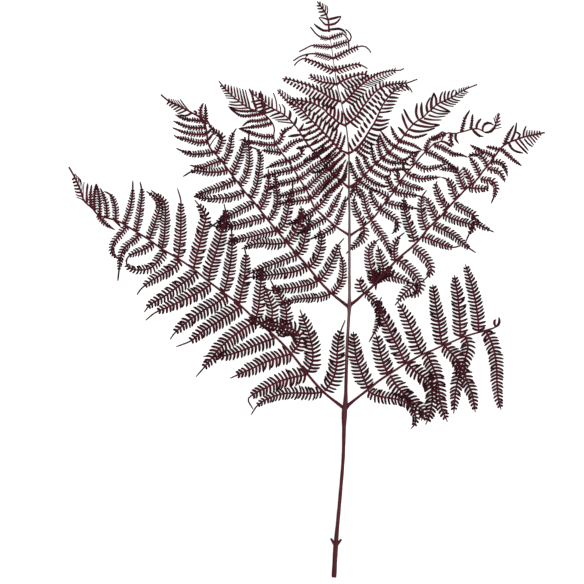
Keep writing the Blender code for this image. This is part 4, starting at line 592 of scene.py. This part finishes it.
RIGHT_12 = Pinna(
    "pinna_right_12",
    costa=[(-14.5, 386.5), (-8, 389), (-3, 391), (0, 390.5), (3, 387), (5, 383)],
    upper=fan(5, [(-12, 387.8), (-12.5, 389.3), (-12.3, 390.6)], [(-2.5, 391), (-2, 392.3),
              (-1.8, 393.4)]),
    lower=fan(5, [(-12, 387.2), (-10.8, 385.5), (-9.7, 384.7)], [(-3, 390.5), (-2.5, 388.8),
              (-2, 387.5)]),
    tip_height=4.6)
APEX = Pinna(
    "apex",
    costa=[(-15.5, 393), (-16, 400), (-16.5, 405.5), (-19, 412), (-22, 417), (-25, 421), (-28, 425)],
    upper=[
        [(-15.7, 395.5), (-10, 396), (-5, 396.3), (0, 394), (3, 389.5)],
        [(-16, 400.5), (-10, 401.5), (-6, 404.5), (-3, 409)],
        [(-17, 406), (-10, 407.5), (-3, 409.5)],
        [(-18, 411), (-17, 416), (-18, 421)],
        [(-20, 414), (-19, 419), (-20.5, 422)],
        [(-22, 417.5), (-22, 420), (-22.5, 423.5)],
        [(-24.5, 420.5), (-25, 422.5), (-25, 425)]],
    lower=[
        [(-15.7, 395), (-21, 394.5), (-27, 398), (-31.5, 402)],
        [(-16, 400.5), (-20, 401), (-23, 404.5), (-26.5, 408)],
        [(-17, 406), (-21, 407.5), (-26, 408.5)],
        [(-19, 411.5), (-22, 410.5), (-25, 410)],
        [(-20.5, 414.5), (-24, 414), (-27, 414)],
        [(-22.5, 417.5), (-25.5, 417.3), (-28, 417.5)],
        [(-25, 420.5), (-27, 420.3), (-29, 420.5)]],
    tip_height=3.4)
PINNAE = [LEFT_1, LEFT_2, LEFT_3, LEFT_4, LEFT_5, LEFT_6, LEFT_7, LEFT_8, LEFT_9, LEFT_10, LEFT_11,
          LEFT_12, RIGHT_1, RIGHT_2, RIGHT_3, RIGHT_4, RIGHT_5, RIGHT_6, RIGHT_7, RIGHT_8, RIGHT_9,
          RIGHT_10, RIGHT_11, RIGHT_12, APEX]


# Costae: half widths along each from stem to tip, and the foot that each keeps inside the stem
COSTA_SHAPE = [(0, 2.0), (0.05, 1.5), (0.5, 1.2), (1, 1.0)]
COSTA_SPACING = 4
LEAST_COSTA_SECTIONS = 10
COSTA_SIDES = 8
COSTA_FLATNESS = 0.85
LEAST_COSTA = 0.3
COSTA_REACH = 0.25
STOUT_PAIRS = 2
SLIGHT_COSTA = 0.8
FORK_DROP = 2.8
FOOT_SHARE = 0.8
WIDEST_FOOT = 1.6

# Pinnules: their midribs, or the strips that the small ones are
SHORTEST_LOBED = 14
SECTION_SPACING = 3.2
MIDRIB_HALF_WIDTHS = [(0, 1.15), (0.5, 0.95), (0.85, 1.0), (0.95, 0.95), (1, 0.5)]
MIDRIB_SCALES = [(0, 1.5), (7, 1.0)]
MIDRIB_REACH = 0.5
LEAST_MIDRIB = 0.62
STRIP_HALF_WIDTHS = [(0, 1.15), (0.12, 1.7), (0.6, 1.65), (0.88, 1.2), (1, 0.6)]
STRIP_CROWDING = 0.4
STRIP_LIMITS = [(0, 1.05), (1, 0.75)]
STRIP_TEETH = 2.2
STRIP_TOOTH = 0.12
STRIP_REACH = 0.8
LEAST_STRIP = 0.58
LAST_BROAD_PAIR = 8
FINE_STRIP = 0.85
THICKNESS_SHARE = 0.6
LEAST_THICKNESS = 0.16
MOST_THICKNESS = 0.34
OPEN_GAP = 20.0
CURLED_GAPS = (5.0, OPEN_GAP)

# Lobes: how they are spaced, sized and bent, and how far they vary by chance
LOBE_SPACINGS = [(3, 2.4), (5, 2.7), (7, 3.0), (9, 3.5), (10, 3.7)]
LOBE_SIZES = [(0, 0.72), (0.08, 0.9), (0.4, 0.9), (0.7, 0.77), (0.9, 0.56), (1, 0.34)]
LOBE_OUTLINE = [(0, 1.3), (0.12, 0.98), (0.45, 1.0), (0.75, 0.96), (0.93, 0.74), (1.0, 0.36)]
LOBE_CROWN = 0.10
LOBE_EDGE_DROP = 0.06
LOBE_THICKNESS = 0.09
LOBE_FILL = 0.7
LOBE_CROWDING = 0.46
LOBE_EXTRA = 0.7
LEAST_CROWDED = 0.75
SHORTEST_LOBE = 0.9
LEAST_LOBE_PAIRS = 3
LOBE_LEAN = math.radians(86)
LEAN_LOSS = 0.25
LOBE_CURL = math.radians(14)
BLUNT_PINNA = "pinna_right_1"
BLUNT_TAILS = (0.93, 0.97)
LONG_TAILS = (0.77, 0.93)
LENGTH_SPREAD = (0.9, 1.08)
WIDTH_SPREAD = (0.88, 1.1)
LEAN_SPREAD = (-0.07, 0.07)
CURL_SPREAD = (-0.1, 0.15)
ROOT_SPREAD = (-0.2, 0.2)
TINT_SPREAD = (-0.25, 0.25)
DROOP_SPREAD = (-0.2, 0.5)

# The share of a side's pinnules that shows where they would cover the next pinna's (side 1 is the
# tip's side, -1 the base's)
SHOWN_SHARES = {
    ("pinna_left_4", 1): 0.8,
    ("pinna_left_4", -1): 0.9,
    ("pinna_left_5", -1): 0.6,
    ("pinna_right_5", 1): 0.62,
    ("pinna_right_6", -1): 0.66,
}

# Crowded and curled blades of three pinnae, too fine or too tangled for the CAD
CURLED_TIPS = {
    "pinna_right_2": [
        [(30, 131), (34, 137), (42, 141), (50, 141)],
        [(31, 132), (30, 139), (32, 147)],
        [(33, 134), (38, 139), (45, 143.5), (54, 142)],
        [(73, 131.5), (69, 126), (63, 121), (57.5, 114), (52.5, 108)],
    ],
    "pinna_right_1": [
        [(157.5, 86), (156.6, 89), (156.4, 91.5), (158.2, 93.6)],
        [(158.5, 86), (160.8, 88.5), (161.7, 91.5), (161, 96)],
    ],
    "pinna_right_3": [
        [(106, 288), (99, 283.5), (92, 279.5)],
        [(112.5, 287), (110.5, 281), (114, 274)],
        [(117, 288), (116, 282), (119.5, 276.5)],
        [(137.5, 291.5), (139.5, 299), (143, 303)],
        [(144.5, 290.5), (145.5, 296), (151, 298.5), (156, 296)],
        [(158, 295), (152.5, 289), (146.5, 288)],
        [(134, 291), (140, 285.5), (145.5, 284)],
    ],
}
SEED = 7

# The finishes: how fine each noise is, and each bump's strength and height
MOTTLE_SCALE = 420.0
BROAD_SCALE = 22.0
FLECK_SCALE = 900.0
SKIN_SCALE = 1500.0
SKIN_BUMP = {"Strength": 0.35, "Distance": 0.0002}
FURROW_SCALE = 700.0
FURROW_STRETCH = (1.0, 0.05, 1.0)
FURROW_BUMP = {"Strength": 0.5, "Distance": 0.0003}
PATCH_SCALE = 45.0
GRAIN_SCALE = 300.0

# The stage: the view's centre and width in the drawing, and for each light its name, place, size and
# share of the strength
VIEW_CENTRE = (-54.26, 122.1)
VIEW_WIDTH = 609.404
SENSOR_WIDTH = 36.0
CAMERA_REACH = 20.0
WORLD_STRENGTH = 0.9
FLOOR_GLOW = 0.85
LIGHTS = [
    ("overhead", (0.9, -0.9, 2.2), 1.6, 1.0),
    ("window", (-1.6, 1.4, 1.8), 1.2, 0.35),
]
WHITE = (1.0, 1.0, 1.0, 1.0)
GRAIN_GREY = (0.22, 0.22, 0.22, 1.0)


def ramp(table, value):
    """The table's second column at a value of its first, straight between its rows."""
    for (a, low), (b, high) in zip(table, table[1:]):
        if value <= b:
            return low + (high - low) * max(0.0, value - a) / (b - a)
    return table[-1][1]


class Path:
    """A smooth line through points of the drawing, measured along its own length."""

    def __init__(self, points, steps=5):
        knots = [Vector(point) for point in points]
        knots = [2 * knots[0] - knots[1]] + knots + [2 * knots[-1] - knots[-2]]
        self.points = []
        for a, b, c, d in zip(knots, knots[1:], knots[2:], knots[3:]):
            for i in range(steps):
                t = i / steps
                self.points.append(0.5 * (2 * b + (c - a) * t + (2 * a - 5 * b + 4 * c - d) * t * t
                                          + (3 * b - a - 3 * c + d) * t ** 3))
        self.points.append(knots[-2])
        self.marks = [0.0]
        for a, b in zip(self.points, self.points[1:]):
            self.marks.append(self.marks[-1] + (b - a).length)
        self.length = self.marks[-1]

    def at(self, distance):
        """The point at a distance from the start."""
        distance = min(max(distance, 0.0), self.length)
        for i in range(len(self.marks) - 1):
            if distance <= self.marks[i + 1]:
                share = (distance - self.marks[i]) / (self.marks[i + 1] - self.marks[i])
                return self.points[i].lerp(self.points[i + 1], share)
        return self.points[-1].copy()

    def heading(self, distance, reach=1.2):
        """The direction of the line about a distance from the start."""
        distance = min(max(distance, 0.0), self.length)
        return (self.at(distance + reach) - self.at(distance - reach)).normalized()

    def nearest(self, point):
        """The distance from the start to the line's nearest point, and how far off it is."""
        best = (0.0, 1e9)
        for i, (a, b) in enumerate(zip(self.points, self.points[1:])):
            along = b - a
            share = min(max((point - a).dot(along) / along.length_squared, 0.0), 1.0)
            off = (a + along * share - point).length
            if off < best[1]:
                best = (self.marks[i] + share * along.length, off)
        return best


class Lie:
    """How one pinna lies: where its costa runs, how high, and how its two sides slope."""

    def __init__(self, pinna):
        self.pinna = pinna
        self.costa = Path(pinna.costa)
        ending = pinna.name.split("_")[-1]
        self.pair = int(ending) if ending.isdigit() else APEX_PAIR
        self.base = ramp(STEM_HEIGHTS, pinna.costa[0][1])
        self.slope = SLOPE + SLOPE_STEP * max(0, self.pair - FIRST_STEEPER_PAIR)
        self.stagger = STAGGER[self.pair - 1] if self.pair <= len(STAGGER) else 0.0
        self.thick = 1.0 if self.pair <= STOUT_PAIRS else SLIGHT_COSTA

    def costa_height(self, distance):
        """The height of the costa's middle."""
        return self.base + (self.pinna.tip_height - self.base) * distance / self.costa.length

    def height(self, point, side, share, order):
        """The height of a pinnule's middle at a point of the drawing."""
        distance, off = self.costa.nearest(point)
        level = (order % STAGGER_LEVELS) * min(1.0, share * STAGGER_RISE)
        lift = self.slope * off + self.stagger * level
        return max(FLOOR_HEIGHT, self.costa_height(distance) + side * lift)


class Growth:
    """Gathers the corners, faces and surface values of one piece, then makes its mesh."""

    def __init__(self):
        self.corners, self.faces, self.reach, self.tint = [], [], [], []

    def add(self, corners, faces, reach, tint):
        """Add a patch: its corners in the drawing, its faces, and the values at its corners."""
        start = len(self.corners)
        self.corners.extend(corners)
        self.faces.extend([tuple(start + i for i in face) for face in faces])
        self.reach.extend(reach)
        self.tint.extend([tint] * len(corners))

    def tube(self, places, headings, widths, thicks, reach, tint, sides=6):
        """A closed, flattened tube through places, with its values of reach at each."""
        corners, values = [], []
        for place, heading, wide, thick, value in zip(places, headings, widths, thicks, reach):
            left = Vector((-heading.y, heading.x, 0.0))
            for i in range(sides):
                angle = 2 * math.pi * (i + 0.5) / sides
                corners.append(place + left * wide * math.cos(angle)
                               + Vector((0, 0, thick * math.sin(angle))))
                values.append(value)
        faces = [tuple(range(sides))[::-1], tuple(range(len(corners) - sides, len(corners)))]
        for ring in range(len(places) - 1):
            for i in range(sides):
                a, b = ring * sides + i, ring * sides + (i + 1) % sides
                faces.append((a, b, b + sides, a + sides))
        self.add(corners, faces, values, tint)

    def finish(self, name):
        """Make the object in the frame's metres, kept off the floor."""
        mesh = bpy.data.meshes.new(name)
        floor = CAD_BOX[0][2] + FLOOR_CLEARANCE * MM
        placed = [corner * MM + SHIFT for corner in self.corners]
        for corner in placed:
            corner.z = max(corner.z, floor + FLOOR_PRESS * (corner.z - floor))
        mesh.from_pydata(placed, [], self.faces)
        for key, values in (("reach", self.reach), ("tint", self.tint)):
            layer = mesh.attributes.new(key, "FLOAT", "POINT")
            layer.data.foreach_set("value", values)
        mesh.shade_smooth()
        thing = bpy.data.objects.new(name, mesh)
        bpy.context.scene.collection.objects.link(thing)
        return thing


def lobe_master():
    """One lobe of a pinnule, a millimetre long from its root on +X, with its corners and faces."""
    bpy.ops.object.select_all(action="DESELECT")
    bpy.ops.mesh.primitive_grid_add(x_subdivisions=5, y_subdivisions=2, size=2.0)
    lobe = bpy.context.object
    lobe.name = "lobe_master"
    for vert in lobe.data.vertices:
        share = (vert.co.x + 1) / 2
        half = ramp(LOBE_OUTLINE, share) / 2
        side = vert.co.y
        crown = LOBE_CROWN * (1 - abs(side)) - LOBE_EDGE_DROP * abs(side)
        vert.co = (share, side * half, crown)
    bpy.ops.object.modifier_add(type="SOLIDIFY")
    lobe.modifiers[-1].thickness = LOBE_THICKNESS
    lobe.modifiers[-1].offset = 0.0
    bpy.ops.object.modifier_apply(modifier=lobe.modifiers[-1].name)
    corners = [vert.co.copy() for vert in lobe.data.vertices]
    faces = [tuple(face.vertices) for face in lobe.data.polygons]
    bpy.data.objects.remove(lobe)
    return corners, faces


def turned(heading, angle):
    """A direction of the drawing turned left by an angle."""
    return Vector((heading.x * math.cos(angle) - heading.y * math.sin(angle),
                   heading.x * math.sin(angle) + heading.y * math.cos(angle)))


def add_lobe(growth, master, root, direction, curl, length, width, tint, droop):
    """Copy the lobe to its place on a midrib, bent forward by its curl."""
    corners, faces = master
    placed, reach = [], []
    for corner in corners:
        heading = turned(direction, curl * corner.x)
        aside = Vector((-heading.y, heading.x)) * corner.y * width
        spot = heading * corner.x * length + aside
        placed.append(root + Vector((spot.x, spot.y, corner.z * width - droop * corner.x ** 2)))
        reach.append(min(1.0, 0.25 + 0.75 * corner.x + 0.25 * abs(corner.y)))
    growth.add(placed, faces, reach, tint)


def gaps_between(paths):
    """How far the middle of each pinnule lies from its nearer and its farther neighbour's."""
    lines = [Path(points) for points in paths]
    middles = [line.at(line.length / 2) for line in lines]
    gaps = []
    for i, here in enumerate(middles):
        heading = lines[i].heading(lines[i].length / 2)
        near = [abs((other - here).cross(heading))
                for other in middles[max(0, i - 1):i + 2] if other is not here]
        gaps.append((min(near, default=OPEN_GAP), max(near, default=OPEN_GAP)))
    return gaps


def midrib_width(lie, lobed, longest, gap, mark, share, order):
    """The half width of a lobed pinnule's midrib, or of a whole strip, at a place along it."""
    if lobed:
        wide = ramp(MIDRIB_HALF_WIDTHS, share) * ramp(MIDRIB_SCALES, longest)
        return max(wide, LEAST_MIDRIB)
    wide = ramp(STRIP_HALF_WIDTHS, share) * (1.0 if lie.pair <= LAST_BROAD_PAIR else FINE_STRIP)
    limit = STRIP_CROWDING * gap[0] * ramp(STRIP_LIMITS, share)
    tooth = 1 + STRIP_TOOTH * math.sin(mark * STRIP_TEETH + order)
    return min(wide, max(LEAST_STRIP, limit)) * tooth


def add_pinnule(growth, master, lie, side, order, points, gap, chance):
    """One pinnule: its midrib or strip, then the lobes along it if it has any."""
    path = Path(points)
    length = path.length * SHOWN_SHARES.get((lie.pinna.name, side), 1.0)
    root_share = lie.costa.nearest(Vector(points[0]))[0] / lie.costa.length
    longest = ramp(lie.pinna.lobes, root_share)
    tint = chance.random()
    lobed = longest > 1.0 and length > SHORTEST_LOBED
    longest = max(min(longest, LOBE_CROWDING * gap[1]), LEAST_CROWDED * longest) + LOBE_EXTRA
    sections = max(4, round(length / SECTION_SPACING))
    places, headings, widths, thicks, reach = [], [], [], [], []
    for i in range(sections + 1):
        mark = length * i / sections
        share = mark / length
        flat = path.at(mark)
        places.append(Vector((flat.x, flat.y, lie.height(flat, side, share, order))))
        headings.append(path.heading(mark))
        wide = midrib_width(lie, lobed, longest, gap, mark, share, order)
        widths.append(wide)
        thicks.append(max(LEAST_THICKNESS, min(MOST_THICKNESS, wide * THICKNESS_SHARE)))
        reach.append(0.1 + (MIDRIB_REACH if lobed else STRIP_REACH) * share)
    growth.tube(places, headings, widths, thicks, reach, tint)
    if lobed:
        add_lobes(growth, master, lie, side, order, path, length, longest, tint, chance)


def add_lobes(growth, master, lie, side, order, path, length, longest, tint, chance):
    """The lobes along both sides of a pinnule, up to the bare tail at its end."""
    tail = chance.uniform(*(BLUNT_TAILS if lie.pinna.name == BLUNT_PINNA else LONG_TAILS))
    spacing = ramp(LOBE_SPACINGS, longest)
    pairs = max(LEAST_LOBE_PAIRS, int(length * tail / spacing))
    for i in range(pairs):
        share = (i + 0.5) / pairs * tail
        mark = share * length
        flat = path.at(mark)
        high = lie.height(flat, side, share, order)
        heading = path.heading(mark, 2.0)
        size = ramp(LOBE_SIZES, share / tail)
        for hand in (1, -1):
            long = longest * size * chance.uniform(*LENGTH_SPREAD)
            if long < SHORTEST_LOBE:
                continue
            lean = hand * (LOBE_LEAN - LEAN_LOSS * share + chance.uniform(*LEAN_SPREAD))
            shift = heading * chance.uniform(*ROOT_SPREAD)
            root = Vector((flat.x + shift.x, flat.y + shift.y, high))
            curl = -hand * (LOBE_CURL + chance.uniform(*CURL_SPREAD))
            width = LOBE_FILL * spacing * chance.uniform(*WIDTH_SPREAD)
            shade = min(1.0, max(0.0, tint + chance.uniform(*TINT_SPREAD)))
            droop = chance.uniform(*DROOP_SPREAD)
            add_lobe(growth, master, root, turned(heading, lean), curl, long, width, shade, droop)


def grow_pinna(pinna, master):
    """One pinna as a single piece: its costa and all its pinnules."""
    lie = Lie(pinna)
    chance = random.Random(f"{SEED}{pinna.name}")
    growth = Growth()
    sections = max(LEAST_COSTA_SECTIONS, round(lie.costa.length / COSTA_SPACING))
    places, headings, widths, reach = [], [], [], []
    if pinna.name != "apex":
        start = lie.costa.at(0.0)
        stem = Path(STEM_ROUTE)
        foot = stem.at(stem.nearest(start)[0] - FORK_DROP * ramp(STEM_RADII, start.y))
        places.append(Vector((foot.x, foot.y, ramp(STEM_HEIGHTS, foot.y))))
        headings.append((start - foot).normalized())
        widths.append(min(WIDEST_FOOT, FOOT_SHARE * ramp(STEM_RADII, foot.y)))
        reach.append(0.0)
    for i in range(sections + 1):
        mark = lie.costa.length * i / sections
        share = mark / lie.costa.length
        flat = lie.costa.at(mark)
        places.append(Vector((flat.x, flat.y, lie.costa_height(mark))))
        headings.append(lie.costa.heading(mark))
        widths.append(max(LEAST_COSTA, ramp(COSTA_SHAPE, share) * lie.thick))
        reach.append(COSTA_REACH * share)
    thicks = [COSTA_FLATNESS * wide for wide in widths]
    growth.tube(places, headings, widths, thicks, reach, 0.5, sides=COSTA_SIDES)
    for side, paths in ((1, pinna.upper), (-1, pinna.lower)):
        for order, (points, gap) in enumerate(zip(paths, gaps_between(paths))):
            add_pinnule(growth, master, lie, side, order, points, gap, chance)
    for order, points in enumerate(CURLED_TIPS.get(pinna.name, [])):
        add_pinnule(growth, master, lie, 1, order, points, CURLED_GAPS, chance)
    return growth.finish("leaf_" + pinna.name)


class Value:
    """A shader socket that adds Math nodes as it is used in an expression."""

    def __init__(self, socket):
        self.socket = socket

    def _math(self, operation, *values):
        tree = self.socket.id_data
        node = tree.nodes.new("ShaderNodeMath")
        node.operation = operation
        for place, value in zip(node.inputs, values):
            if isinstance(value, Value):
                tree.links.new(value.socket, place)
            else:
                place.default_value = value
        return Value(node.outputs[0])

    def __add__(self, other):
        return self._math("ADD", self, other)

    def __sub__(self, other):
        return self._math("SUBTRACT", self, other)

    def __rsub__(self, other):
        return self._math("SUBTRACT", other, self)

    def __mul__(self, other):
        return self._math("MULTIPLY", self, other)

    __radd__ = __add__
    __rmul__ = __mul__

    def clamped(self):
        """The value held between nought and one."""
        held = self._math("MAXIMUM", self, 0.0)
        return held._math("MINIMUM", held, 1.0)


class Finish:
    """A material being made: its nodes, with one way to add each."""

    def __init__(self, name):
        self.material = bpy.data.materials.new(name)
        self.material.use_nodes = True
        self.tree = self.material.node_tree
        self.surface = self.tree.nodes["Principled BSDF"]

    def node(self, kind, settings=(), **sockets):
        """Add a node, set its settings, then its sockets to values or links."""
        made = self.tree.nodes.new(kind)
        for key, value in dict(settings).items():
            setattr(made, key, value)
        for key, value in sockets.items():
            self.feed(made.inputs[key.replace("_", " ")], value)
        return made

    def feed(self, socket, value):
        """Give a socket a value or a link."""
        if isinstance(value, Value):
            value = value.socket
        if isinstance(value, bpy.types.NodeSocket):
            self.tree.links.new(value, socket)
        else:
            socket.default_value = value

    def mix(self, share, first, second):
        """Mix two colours by a share."""
        made = self.tree.nodes.new("ShaderNodeMix")
        made.data_type = "RGBA"
        self.feed(made.inputs["Factor"], share)
        self.feed(made.inputs["A"], first)
        self.feed(made.inputs["B"], second)
        return made.outputs["Result"]

    def attribute(self, name):
        """A value kept at the corners of the piece."""
        return Value(self.node("ShaderNodeAttribute", {"attribute_name": name}).outputs["Fac"])

    def noise(self, scale, detail=3.0, stretch=None):
        """Fractal noise on the piece's own coordinates."""
        place = self.node("ShaderNodeTexCoord").outputs["Object"]
        if stretch:
            place = self.node("ShaderNodeMapping", Vector=place, Scale=stretch).outputs[0]
        return Value(self.node("ShaderNodeTexNoise", Vector=place, Scale=scale,
                               Detail=detail).outputs["Fac"])


def paint(colour):
    """A colour property as a shader colour."""
    return (*colour, 1.0)


def leaf_finish(colours):
    """Dried blade: wine-dark at the midribs, near black at the lobes' ends, faintly mottled."""
    finish = Finish("dried_leaf")
    reach, tint = finish.attribute("reach"), finish.attribute("tint")
    mottle = finish.noise(MOTTLE_SCALE)
    broad = finish.noise(BROAD_SCALE, 2.0)
    dark = (reach * 1.15 + (mottle - 0.5) * 0.9 + (tint - 0.5) * 0.7 + (broad - 0.5) * 1.2).clamped()
    base = finish.mix(dark, paint(colours.rib_colour), paint(colours.blade_colour))
    brown = ((finish.noise(FLECK_SCALE) - 0.5) * 3.0 + (tint - 0.55) * 1.2).clamped() * 0.5
    colour = finish.mix(brown, base, paint(colours.rust_colour))
    finish.feed(finish.surface.inputs["Base Color"], colour)
    finish.feed(finish.surface.inputs["Roughness"], 0.68 + (mottle - 0.5) * 0.3)
    bump = finish.node("ShaderNodeBump", Height=finish.noise(SKIN_SCALE), **SKIN_BUMP)
    finish.feed(finish.surface.inputs["Normal"], bump.outputs[0])
    finish.surface.inputs["Specular IOR Level"].default_value = 0.03
    return finish.material


def stem_finish(colours):
    """Dried stalk: brown-red below with fine furrows along it, paling to grey-brown at the tip."""
    finish = Finish("dried_stalk")
    reach = finish.attribute("reach")
    furrow = finish.noise(FURROW_SCALE, 3.0, FURROW_STRETCH)
    patch = finish.noise(PATCH_SCALE, 3.0)
    pale = (reach * 1.1 + (patch - 0.5) * 0.5).clamped()
    colour = finish.mix(pale, paint(colours.stalk_colour), paint(colours.tip_colour))
    dark = ((0.62 - furrow) * 3.0).clamped() * 0.7
    colour = finish.mix(dark, colour, paint(colours.furrow_colour))
    finish.feed(finish.surface.inputs["Base Color"], colour)
    finish.feed(finish.surface.inputs["Roughness"], 0.55 + (patch - 0.5) * 0.3)
    bump = finish.node("ShaderNodeBump", Height=furrow, **FURROW_BUMP)
    finish.feed(finish.surface.inputs["Normal"], bump.outputs[0])
    finish.surface.inputs["Specular IOR Level"].default_value = 0.04
    return finish.material


def floor_finish(colours):
    """Smooth white paper with the faintest tooth."""
    finish = Finish("paper_floor")
    grain = finish.noise(GRAIN_SCALE)
    colour = finish.mix(grain * 0.3, paint(colours.floor_colour), GRAIN_GREY)
    finish.feed(finish.surface.inputs["Base Color"], colour)
    finish.surface.inputs["Roughness"].default_value = 0.9
    finish.surface.inputs["Specular IOR Level"].default_value = 0.1
    finish.surface.inputs["Emission Color"].default_value = WHITE
    finish.surface.inputs["Emission Strength"].default_value = FLOOR_GLOW
    return finish.material


def colour_property(name, description, default):
    """A colour property."""
    return FloatVectorProperty(name=name, description=description, subtype="COLOR", size=3,
                               default=default, min=0, max=1)


class FrondColours(bpy.types.PropertyGroup):
    """Colours of the frond and the floor."""

    rib_colour: colour_property("Rib colour", "Midribs and the roots of the lobes",
                                (0.041, 0.0058, 0.0096))
    blade_colour: colour_property("Blade colour", "Ends and edges of the lobes", (0.0072, 0.0016, 0.0026))
    rust_colour: colour_property("Rust colour", "Worn, paler flecks on the blades",
                                 (0.056, 0.0078, 0.0125))
    stalk_colour: colour_property("Stalk colour", "The lower stem", (0.042, 0.0072, 0.0110))
    tip_colour: colour_property("Tip colour", "The thin upper stem", (0.090, 0.050, 0.055))
    furrow_colour: colour_property("Furrow colour", "Dark furrows along the stem", (0.016, 0.003, 0.004))
    floor_colour: colour_property("Floor colour", "The paper the frond lies on", (0.2, 0.2, 0.2))


class FrondSizes(bpy.types.PropertyGroup):
    """Sizes of the stage and the fineness of the stem."""

    stem_sides: IntProperty(
        name="Stem sides", description="Faces round the stem", default=20, min=8, max=48)
    camera_height: FloatProperty(
        name="Camera height", description="How far the camera hangs above the floor",
        default=3.0, min=1.0, subtype="DISTANCE", unit="LENGTH")
    view_width: FloatProperty(
        name="View width", description="Width of floor that the camera sees",
        default=VIEW_WIDTH * MM, min=0.1, subtype="DISTANCE", unit="LENGTH")
    floor_width: FloatProperty(
        name="Floor width", description="Side of the square floor", default=12.0, min=1.0,
        subtype="DISTANCE", unit="LENGTH")
    light_strength: FloatProperty(
        name="Light strength", description="Power of the overhead softbox in watts",
        default=90.0, min=0.0)


class FROND_OT_stem(bpy.types.Operator):
    """Build the stem with its cut end, forks and stripped stubs"""

    bl_idname = "frond.stem"
    bl_label = "Stem"

    def execute(self, context):
        growth = Growth()
        chance = random.Random(SEED)
        route = Path(STEM_ROUTE, 8)
        places, headings, widths, reach = [], [], [], []
        for i in range(STEM_SECTIONS + 1):
            mark = route.length * i / STEM_SECTIONS
            flat = route.at(mark)
            swell = STEM_SWELL * math.sin(STEM_SWELLS_PER_MM * mark)
            rough = chance.uniform(-STEM_ROUGHNESS, STEM_ROUGHNESS)
            places.append(Vector((flat.x, flat.y, ramp(STEM_HEIGHTS, flat.y))))
            headings.append(route.heading(mark))
            widths.append(ramp(STEM_RADII, flat.y) * (1 + swell + rough))
            reach.append(ramp(STEM_PALING, flat.y))
        thicks = [STEM_FLATNESS * wide for wide in widths]
        growth.tube(places, headings, widths, thicks, reach, 0.5,
                    sides=context.scene.frond_sizes.stem_sides)
        root = Vector((*route.at(STUB_LEVEL - STEM_ROUTE[0][1]), ramp(STEM_HEIGHTS, STUB_LEVEL)))
        for tip in STUB_TIPS:
            end = Vector((*tip, root.z))
            places = [root.lerp(end, share) for share in STUB_SHARES]
            growth.tube(places, [(end - root).normalized()] * 4, STUB_HALF_WIDTHS,
                        STUB_HALF_THICKNESSES, [0] * 4, 0.5, sides=STUB_SIDES)
        stem = growth.finish("stalk")
        stem.data.materials.append(stem_finish(context.scene.frond_colours))
        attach(stem, "root")
        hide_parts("stem")
        return {"FINISHED"}


class FROND_OT_pinnae(bpy.types.Operator):
    """Build every pinna with its lobed pinnules, and the apex"""

    bl_idname = "frond.pinnae"
    bl_label = "Pinnae"

    def execute(self, context):
        finish = leaf_finish(context.scene.frond_colours)
        master = lobe_master()
        for pinna in PINNAE:
            piece = grow_pinna(pinna, master)
            piece.data.materials.append(finish)
            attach(piece, "root")
            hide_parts(pinna.name)
        return {"FINISHED"}


class FROND_OT_stage(bpy.types.Operator):
    """Lay the floor, hang the lights and set the camera straight above"""

    bl_idname = "frond.stage"
    bl_label = "Stage"

    def execute(self, context):
        sizes = context.scene.frond_sizes
        bpy.ops.object.select_all(action="DESELECT")
        bpy.ops.mesh.primitive_plane_add(size=1.0, location=(0, 0, 0))
        floor = context.object
        floor.name = "floor"
        for vert in floor.data.vertices:
            vert.co *= sizes.floor_width
        floor.data.materials.append(floor_finish(context.scene.frond_colours))
        for name, place, size, share in LIGHTS:
            lamp = bpy.data.lights.new(name, "AREA")
            lamp.energy = sizes.light_strength * share
            lamp.size = size
            holder = bpy.data.objects.new(name, lamp)
            holder.location = place
            holder.rotation_euler = (-Vector(place)).to_track_quat("-Z", "Y").to_euler()
            context.scene.collection.objects.link(holder)
        world = bpy.data.worlds.new("studio")
        world.use_nodes = True
        world.node_tree.nodes["Background"].inputs["Color"].default_value = WHITE
        world.node_tree.nodes["Background"].inputs["Strength"].default_value = WORLD_STRENGTH
        context.scene.world = world
        context.scene.view_settings.view_transform = "Standard"
        lens = bpy.data.cameras.new("camera")
        lens.sensor_width = SENSOR_WIDTH
        lens.lens = lens.sensor_width * sizes.camera_height / sizes.view_width
        lens.clip_end = CAMERA_REACH
        camera = bpy.data.objects.new("camera", lens)
        middle = Vector(VIEW_CENTRE) * MM
        camera.location = (middle.x + SHIFT.x, middle.y + SHIFT.y, sizes.camera_height)
        context.scene.collection.objects.link(camera)
        context.scene.camera = camera
        return {"FINISHED"}


class FROND_PT_panel(bpy.types.Panel):
    """The frond's sizes, colours and pieces"""

    bl_idname = "FROND_PT_panel"
    bl_label = "Frond"
    bl_space_type = "VIEW_3D"
    bl_region_type = "UI"
    bl_category = "Frond"

    def draw(self, context):
        for group in (context.scene.frond_sizes, context.scene.frond_colours):
            for name in group.__annotations__:
                self.layout.prop(group, name)
        for operator in (FROND_OT_stem, FROND_OT_pinnae, FROND_OT_stage):
            self.layout.operator(operator.bl_idname)


CLASSES = (FrondColours, FrondSizes, FROND_OT_stem, FROND_OT_pinnae, FROND_OT_stage, FROND_PT_panel)


def register():
    for cls in CLASSES:
        bpy.utils.register_class(cls)
    bpy.types.Scene.frond_colours = PointerProperty(type=FrondColours)
    bpy.types.Scene.frond_sizes = PointerProperty(type=FrondSizes)


def unregister():
    del bpy.types.Scene.frond_sizes
    del bpy.types.Scene.frond_colours
    for cls in reversed(CLASSES):
        bpy.utils.unregister_class(cls)


def main():
    register()
    bpy.ops.frond.stage()
    bpy.ops.frond.stem()
    bpy.ops.frond.pinnae()


if __name__ == "__main__":
    main()
